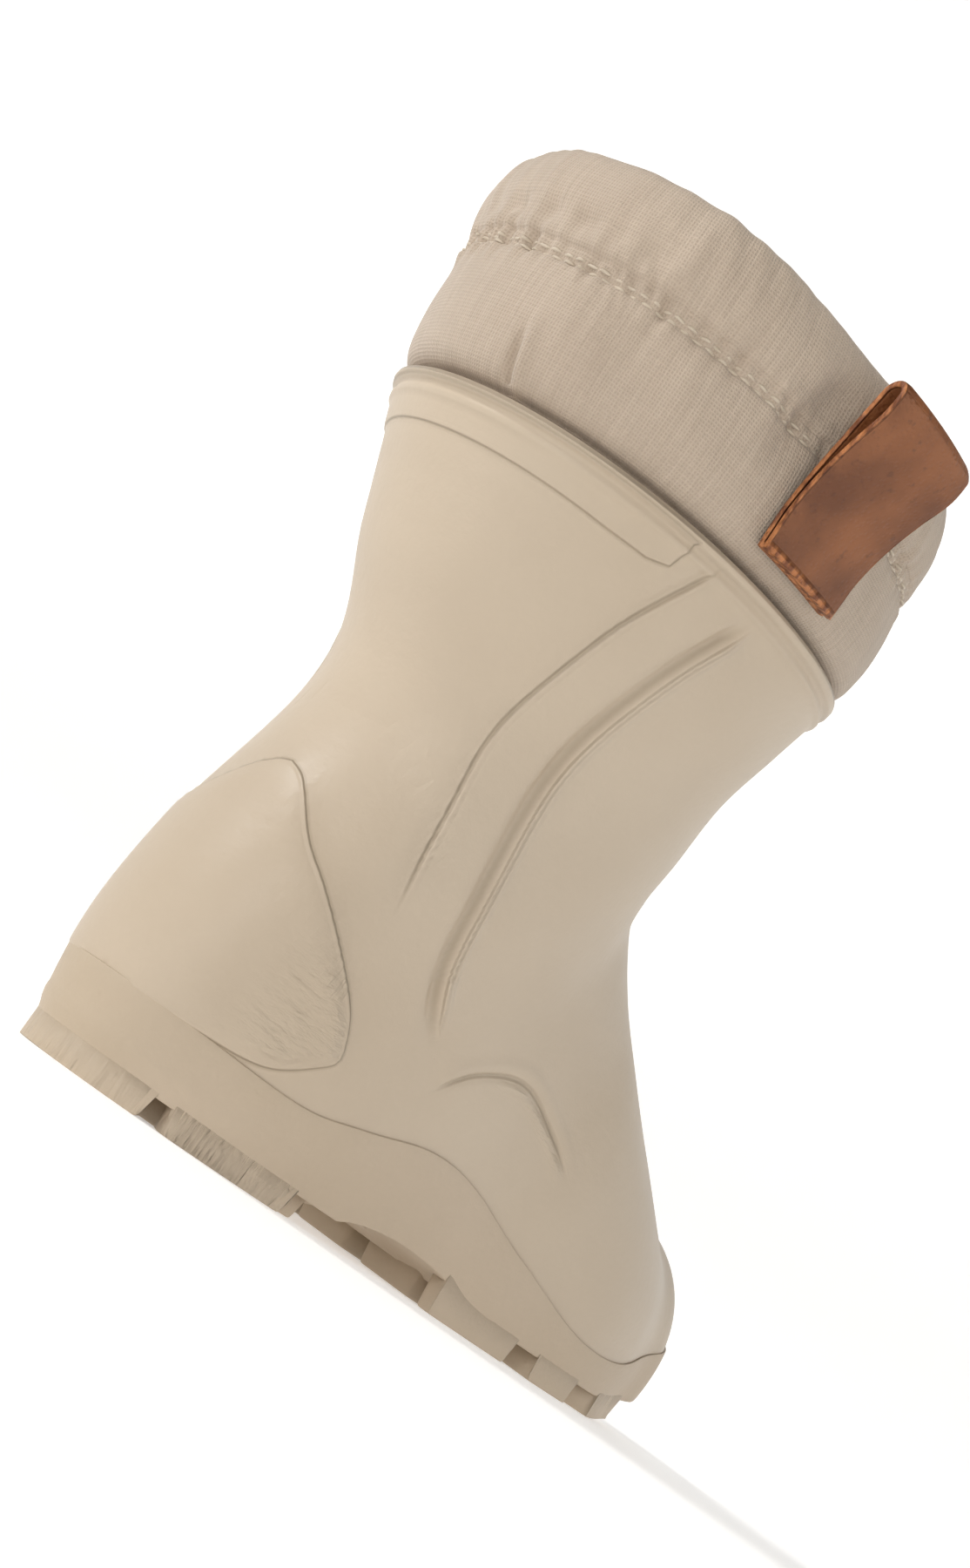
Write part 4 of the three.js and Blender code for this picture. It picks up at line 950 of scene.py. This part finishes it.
def cuffSurface():
    # the profile carried round the collar and pushed in and out by folds; t is the turn and up the height
    b, thick, profileRows = boot, boot["cuffThickness"], np.array(cuffProfile)
    v = np.linspace(0, len(profileRows) - 1, cuff["rows"])
    # rows stand closer at the seam and wider inside
    weight = np.interp(v, [0, 2.5, 4, 6, 8, 14], [1, 1, 2.2, 1.6, 1, 0.5])
    v = spread(weight, cuff["rows"]) * (len(profileRows) - 1)
    line = catmull(profileRows, v)
    turn = np.linspace(0, 2 * math.pi, cuff["columns"] + 1)[:-1]
    up, out = line[:, :1] + 0 * turn, line[:, 1:] * thick + 0 * turn
    outside = smooth(9.6, 8.4, v)[:, None]
    t = turn + 0 * up
    # above the seam the top is gathered, below it lies nearly smooth, and the seam itself puckers
    seam = sum(cuff["seam"]) / 2
    above = smooth(seam, seam + 0.14, up) * smooth(10.4, 8.8, v)[:, None]
    leaning = t + 0.16 * (up - seam) * np.sin(5 * t)
    calm, tight = patchy(wander(t, 4, 5)), patchy(wander(t, 5, 9))
    gathers = 1.1 * wander(leaning, 0, 8, 0.6) + (0.1 + 0.5 * tight) * wander(leaning, 1, 21, 0.7)
    gathers = gathers + 0.3 * calm * wander(t + 0.3 * up, 6, 47, 0.9)
    near = hill(up, seam + 0.02 * wander(t, 7, 31), 0.085)
    puckers = (0.35 + 0.9 * calm) * wander(t, 2, 57, 0.8) + 0.55 * tight * wander(t + 0.4 * up, 8, 93, 0.9)
    soft = wander(t + 0.25 * up, 3, 7) * smooth(0.05, 0.25, up) * smooth(0.55, 0.4, up)
    push = cuff["gathers"] * (0.75 * gathers * above + 0.55 * soft * outside)
    push = push + cuff["puckers"] * puckers * near * outside
    # the drawn seam is tightest at the back, with small hollows over it
    back = hill(t, math.radians(cuff["backSeam"] - 12), 0.55)
    hollow = hill(up, seam + 0.13, 0.05) * patchy(wander(t, 9, 26, 0.8), 1.5)
    push = push - 1.9 * back * hollow * outside + 0.6 * back * puckers * near * outside
    # and a soft fold stands beside the tab, where it pulls the cloth
    beside = (t - math.radians(cuff["tabFold"])) * b["rimWidth"] / 2 - 14 * (up - 0.6)
    pull = smooth(0.3, 0.55, up) * smooth(0.92, 0.75, up) * outside
    push = push + pull * (0.8 * hill(beside, -8, 4) - 2.2 * hill(beside, 0, 3.6))
    # the two rows of stitches draw the cloth in
    push = push - 0.45 * sum(hill(up, k, 0.012) for k in cuff["seam"]) * outside
    # a short pleat stands over the rim at the back seam
    away = (t - math.radians(cuff["backSeam"])) * b["rimWidth"] / 2 + 6 * up
    pleat = hill(away, 0, 0.9) * smooth(0.01, 0.04, up) * smooth(0.3, 0.12, up)
    push = push + outside * (1.1 * hill(away, 2, 1.5) * smooth(0.36, 0.1, up) - 1.7 * pleat)
    points = collarPoint(t, up, out + push)
    points[..., 2] += gap + 0.25 * gathers * smooth(0.85, 1.0, up)
    # the two tucked ends follow the shell's inside, below the rim
    s = np.linspace(rimRow - 2, rimRow, 300)
    depth = skin(s[:, None], turn[None])
    level = b["rimHeight"] - b["cuffTuck"]
    below = np.array([np.interp(level, depth[:, j, 2], s) for j in range(len(turn))])
    base, normal = skin(below, turn), skinNormal(below, turn)
    ends = [base + normal * k * thick for k in (tuckOut, tuckOut - 0.25, tuckOut - 0.5)]
    first, last = points[:1], points[-1:]
    enter = [mix(ends[0], first[0], k) for k in (0.33, 0.67)]
    leave = [mix(last[0], ends[2], k) for k in (0.25, 0.5, 0.75)]
    return np.concatenate([[ends[1], ends[0]], enter, points, leave, [ends[2]]])


def makeCuff():
    grid = cuffSurface()
    rowCount, columns = grid.shape[:2]
    # the last row is joined to the first
    faces = gridFaces(rowCount + 1, columns, True) % (rowCount * columns)
    piece = makePiece("cuff_nylon", grid, faces, cuffNylon, ["cuff"], weld=0)
    # the cloth's own map, in millimetres: round the collar and over the profile
    girth = np.arange(columns + 1) / columns * cuff["girth"]
    over = np.concatenate([[0], np.cumsum(np.linalg.norm(np.diff(grid, axis=0), axis=-1).mean(1))])
    over = np.append(over, over[-1] + boot["cuffThickness"] / 2)
    layer = piece.data.uv_layers.new(name="cloth")
    j, i = np.meshgrid(np.arange(columns), np.arange(rowCount))
    corners = [np.stack([girth[j + dj], over[i + di]], -1) for di, dj in ((0, 0), (0, 1), (1, 1), (1, 0))]
    layer.data.foreach_set("uv", np.stack(corners, 2).reshape(-1).astype(np.float32))
    return grid


cuffGrid = makeCuff()


def makeStitches():
    # each stitch is a short round-ended bar, laid on the cloth along its row and a little sunk
    points, faces, count, random = [], [], 0, np.random.default_rng(cuff["seed"] + 20)
    along, around, zero = 7, 6, np.array(0.0)
    arch = np.sin(np.linspace(0, math.pi, along))[None, :, None]
    radius = cuff["threadRadius"] * np.sin(np.linspace(0.12, math.pi - 0.12, along)) ** 0.5
    turns = np.linspace(0, 2 * math.pi, around + 1)[:-1, None]
    ends = [list(range(around)), list(range((along - 1) * around, along * around))]
    single = gridFaces(along, around, True).tolist() + ends
    for level in cuff["seam"]:
        # the cloth's row that is nearest in height, among those of its outside
        seamHeight = collarPoint(zero, zero + level, zero)[2] + gap
        ring = cuffGrid[4 + int(np.argmin(np.abs(cuffGrid[4:70, 0, 2] - seamHeight)))]
        closed = np.concatenate([ring, ring[:1]])
        walked = np.concatenate([[0], np.cumsum(np.linalg.norm(np.diff(closed, axis=0), axis=1))])
        total = round(walked[-1] / (cuff["stitch"] + cuff["stitchGap"]))
        starts = np.linspace(0, walked[-1], total + 1)[:-1]
        at = starts[:, None] + np.linspace(0, cuff["stitch"], along)
        path = np.stack([np.interp(at, walked, closed[:, c]) for c in range(3)], -1)
        out = unit((path - [0, boot["rimCentre"] + 4, 0]) * [1, 1, 0])
        sink = random.uniform(-0.55, 0.0, total)[:, None, None]
        path = path + out * (sink + 0.1 + 0.28 * arch)
        side = unit(np.cross(out, unit(path[:, -1] - path[:, 0])[:, None]))
        section = np.cos(turns) * out[:, :, None] + np.sin(turns) * side[:, :, None]
        tube = path[:, :, None] + radius[:, None, None] * section
        for start in range(count, count + total * along * around, along * around):
            faces += [[corner + start for corner in face] for face in single]
        points.append(tube.reshape(-1, 3))
        count += total * along * around
    makePiece("cuff_stitches", np.concatenate(points), faces, thread, weld=0.001)


makeStitches()
print("cuff made")


# Pull tab: one strip of leather, folded at its top, with both ends sewn to the cuff

tab = {"width": 23, "rise": 36, "back": 10, "thickness": 1.85, "lean": 7.5, "start": 4, "loop": 4.8,
       "rows": 110, "columns": 34, "corner": 0.4, "bow": 0.35, "wave": 0.25}


def tabPath():
    # the strip's middle line, up the inner layer, over the fold and down the outer one: distance out and rise
    # columns of up: share of the tab's rise, and of its lean and its loop at that height
    up = [(0.0, 0.0, 0.0), (0.12, 0.02, 0.0), (0.25, 0.06, 0.0), (0.45, 0.27, 0.1), (0.65, 0.55, 0.45),
          (0.82, 0.79, 1.0), (0.94, 0.93, 0.95)]
    cloth, t = 0.42 * boot["cuffThickness"] + gap, tab["thickness"]
    inner = [(cloth + lean * tab["lean"] + t / 2 - loop * 0.5, rise) for rise, lean, loop in up]
    outer = [(cloth + lean * tab["lean"] + 1.5 * t + 0.08 + loop * tab["loop"] * 0.55, rise)
             for rise, lean, loop in up[::-1]]
    a, b = np.array(inner[-1]), np.array(outer[0])
    middle, reach = (a + b) / 2, (b - a)[0] / 2
    fold = [(middle[0] - reach * math.cos(k), middle[1] + reach / tab["rise"] * math.sin(k))
            for k in np.linspace(0, math.pi, 9)[1:-1]]
    return np.array(inner + fold + outer)


def makeTab():
    # a rounded rectangle carried along the path, a along the width and b through the thickness
    path, rows = tabPath(), np.arange(tab["rows"])[:, None]
    line = catmull(path, np.linspace(0, len(path) - 1, tab["rows"]))
    step = np.gradient(line * [1, tab["rise"]], axis=0)
    normal = unit(np.stack([-step[:, 1], step[:, 0]], -1)) * [1, 1 / tab["rise"]]
    w, t, rimHalf = tab["width"] / 2, tab["thickness"] / 2, boot["rimDepth"] / 2
    a, b = blockRing(w, t, tab["corner"], (tab["columns"], 2))
    nearEdge = np.abs(a) / w
    angle = 1.5 * math.pi - math.asin(tab["back"] / rimHalf)
    # the long edges are a little wavy, and the outer layer bows out
    wave = tab["wave"] * np.sin(np.linspace(0, 9, tab["rows"]))[:, None]
    wave = wave * np.sign(a) * smooth(0.8, 1.0, nearEdge)
    bow = tab["bow"] * (1 - (a / w) ** 2) * smooth(20, 50, rows) * smooth(90, 60, rows)
    thin = 1 - 0.25 * smooth(0.86, 1.0, nearEdge)
    out = line[:, :1] + normal[:, :1] * b * thin + bow
    rise = line[:, 1:] + normal[:, 1:] * b * thin
    up = (tab["start"] + rise * tab["rise"]) / boot["cuffHeight"]
    points = collarPoint(angle + (a + wave) / rimHalf, up, out)
    # the long cut edges and the strip's two ends
    cut = np.broadcast_to(smooth(0.96, 0.99, nearEdge), up.shape).copy()
    cut[:2], cut[-2:] = 1, 1
    count, around = up.shape
    faces = gridFaces(count, around, True).tolist()
    faces += [list(range(around)), list(range((count - 1) * around, count * around))]
    makePiece("pull_tab_leather", points, faces, tabLeather, ["pull_tab"], weld=0.001,
              attributes={"cutEdge": cut})


makeTab()
print("pull tab made")


# Camera: the photograph's angle, rolled as it is, and raised until it stands just over the floor
view = {"azimuth": -139.3, "elevation": -7.5, "roll": 35.1, "distance": 0.64, "lens": 68.0,
        "aim": (0.0235, 0.0182, 0.099)}


def stand(thing, right, up, back, place):
    # turns a camera or lamp so that it looks along minus back
    matrix = np.eye(4)
    matrix[:3] = np.stack([right, up, back, place], 1)
    thing.matrix_world = Matrix(matrix.tolist())


def makeCamera():
    az, el, ro = (math.radians(view[k]) for k in ("azimuth", "elevation", "roll"))
    back = np.array([math.sin(az) * math.cos(el), -math.cos(az) * math.cos(el), math.sin(el)])
    right = unit(np.cross(-back, [0, 0, 1]))
    up = np.cross(back, right)
    across = right * math.cos(ro) + up * math.sin(ro)
    upward = -right * math.sin(ro) + up * math.cos(ro)
    data = bpy.data.cameras.new("camera")
    data.lens = view["lens"]
    data.clip_start = 0.01
    camera = bpy.data.objects.new("camera", data)
    bpy.context.scene.collection.objects.link(camera)
    place = np.array(view["aim"]) + back * view["distance"]
    stand(camera, across, upward, back, place)
    bpy.context.scene.camera = camera
    print("camera height over the floor:", round(float(place[2]), 4))


makeCamera()


# Studio: a white bowl that is the floor, and soft lights
# Sizes in metres; a lamp has its name, place, width in metres and power in watts
studio = {"floorRadius": 2.2, "bend": 0.9, "wall": 1.6, "sides": 96, "white": "#F6F5F3", "glow": 0.38,
          "sky": 0.05, "lamps": [("key", (1.05, 1.5, 1.6), 0.7, 21), ("side", (-0.7, 2.2, 1.0), 0.35, 5),
                                 ("rim", (1.3, -1.6, 1.3), 1.2, 5)]}


def makeStudio():
    # profile carried round the axis: flat floor, quarter bend, wall
    r, bend, sides = studio["floorRadius"], studio["bend"], studio["sides"]
    turn = np.linspace(0, math.pi / 2, 16)
    out = np.concatenate([[0, 0.5, 1.2], r + bend * np.sin(turn), [r + bend]])
    up = np.concatenate([[0, 0, 0], bend * (1 - np.cos(turn)), [bend + studio["wall"]]])
    angle = np.linspace(0, 2 * math.pi, sides + 1)[:-1]
    x, y = out[:, None] * np.cos(angle), out[:, None] * np.sin(angle)
    points = np.stack([x, y, np.repeat(up[:, None], sides, 1)], -1)
    mesh = bpy.data.meshes.new("studio")
    mesh.from_pydata(points.reshape(-1, 3).tolist(), [], gridFaces(len(out), sides, True).tolist())
    mesh.shade_smooth()
    # the paper glows a little, so that it stays white away from the lamps
    material, _, _ = newMaterial("matt white studio paper", Roughness=0.9, Base_Color=colour(studio["white"]),
                                 Emission_Color=(1, 1, 1, 1), Emission_Strength=studio["glow"])
    mesh.materials.append(material)
    bowl = bpy.data.objects.new("studio", mesh)
    bpy.context.scene.collection.objects.link(bowl)
    world = bpy.data.worlds.new("soft sky")
    world.use_nodes = True
    sky = world.node_tree.nodes["Background"].inputs
    sky["Color"].default_value = (1, 1, 1, 1)
    sky["Strength"].default_value = studio["sky"]
    bpy.context.scene.world = world
    # plain sRGB, so that the paper is white and the foam has the colour of its hex value
    bpy.context.scene.view_settings.view_transform = "Standard"
    for name, place, size, power in studio["lamps"]:
        data = bpy.data.lights.new(name, "AREA")
        data.shape, data.size, data.energy = "DISK", size, power
        lamp = bpy.data.objects.new(name, data)
        bpy.context.scene.collection.objects.link(lamp)
        away = unit(np.array(place) - np.array([0, 0, 0.1]))
        right = unit(np.cross([0, 0, 1], away))
        stand(lamp, right, np.cross(away, right), away, place)


makeStudio()
print("studio made")
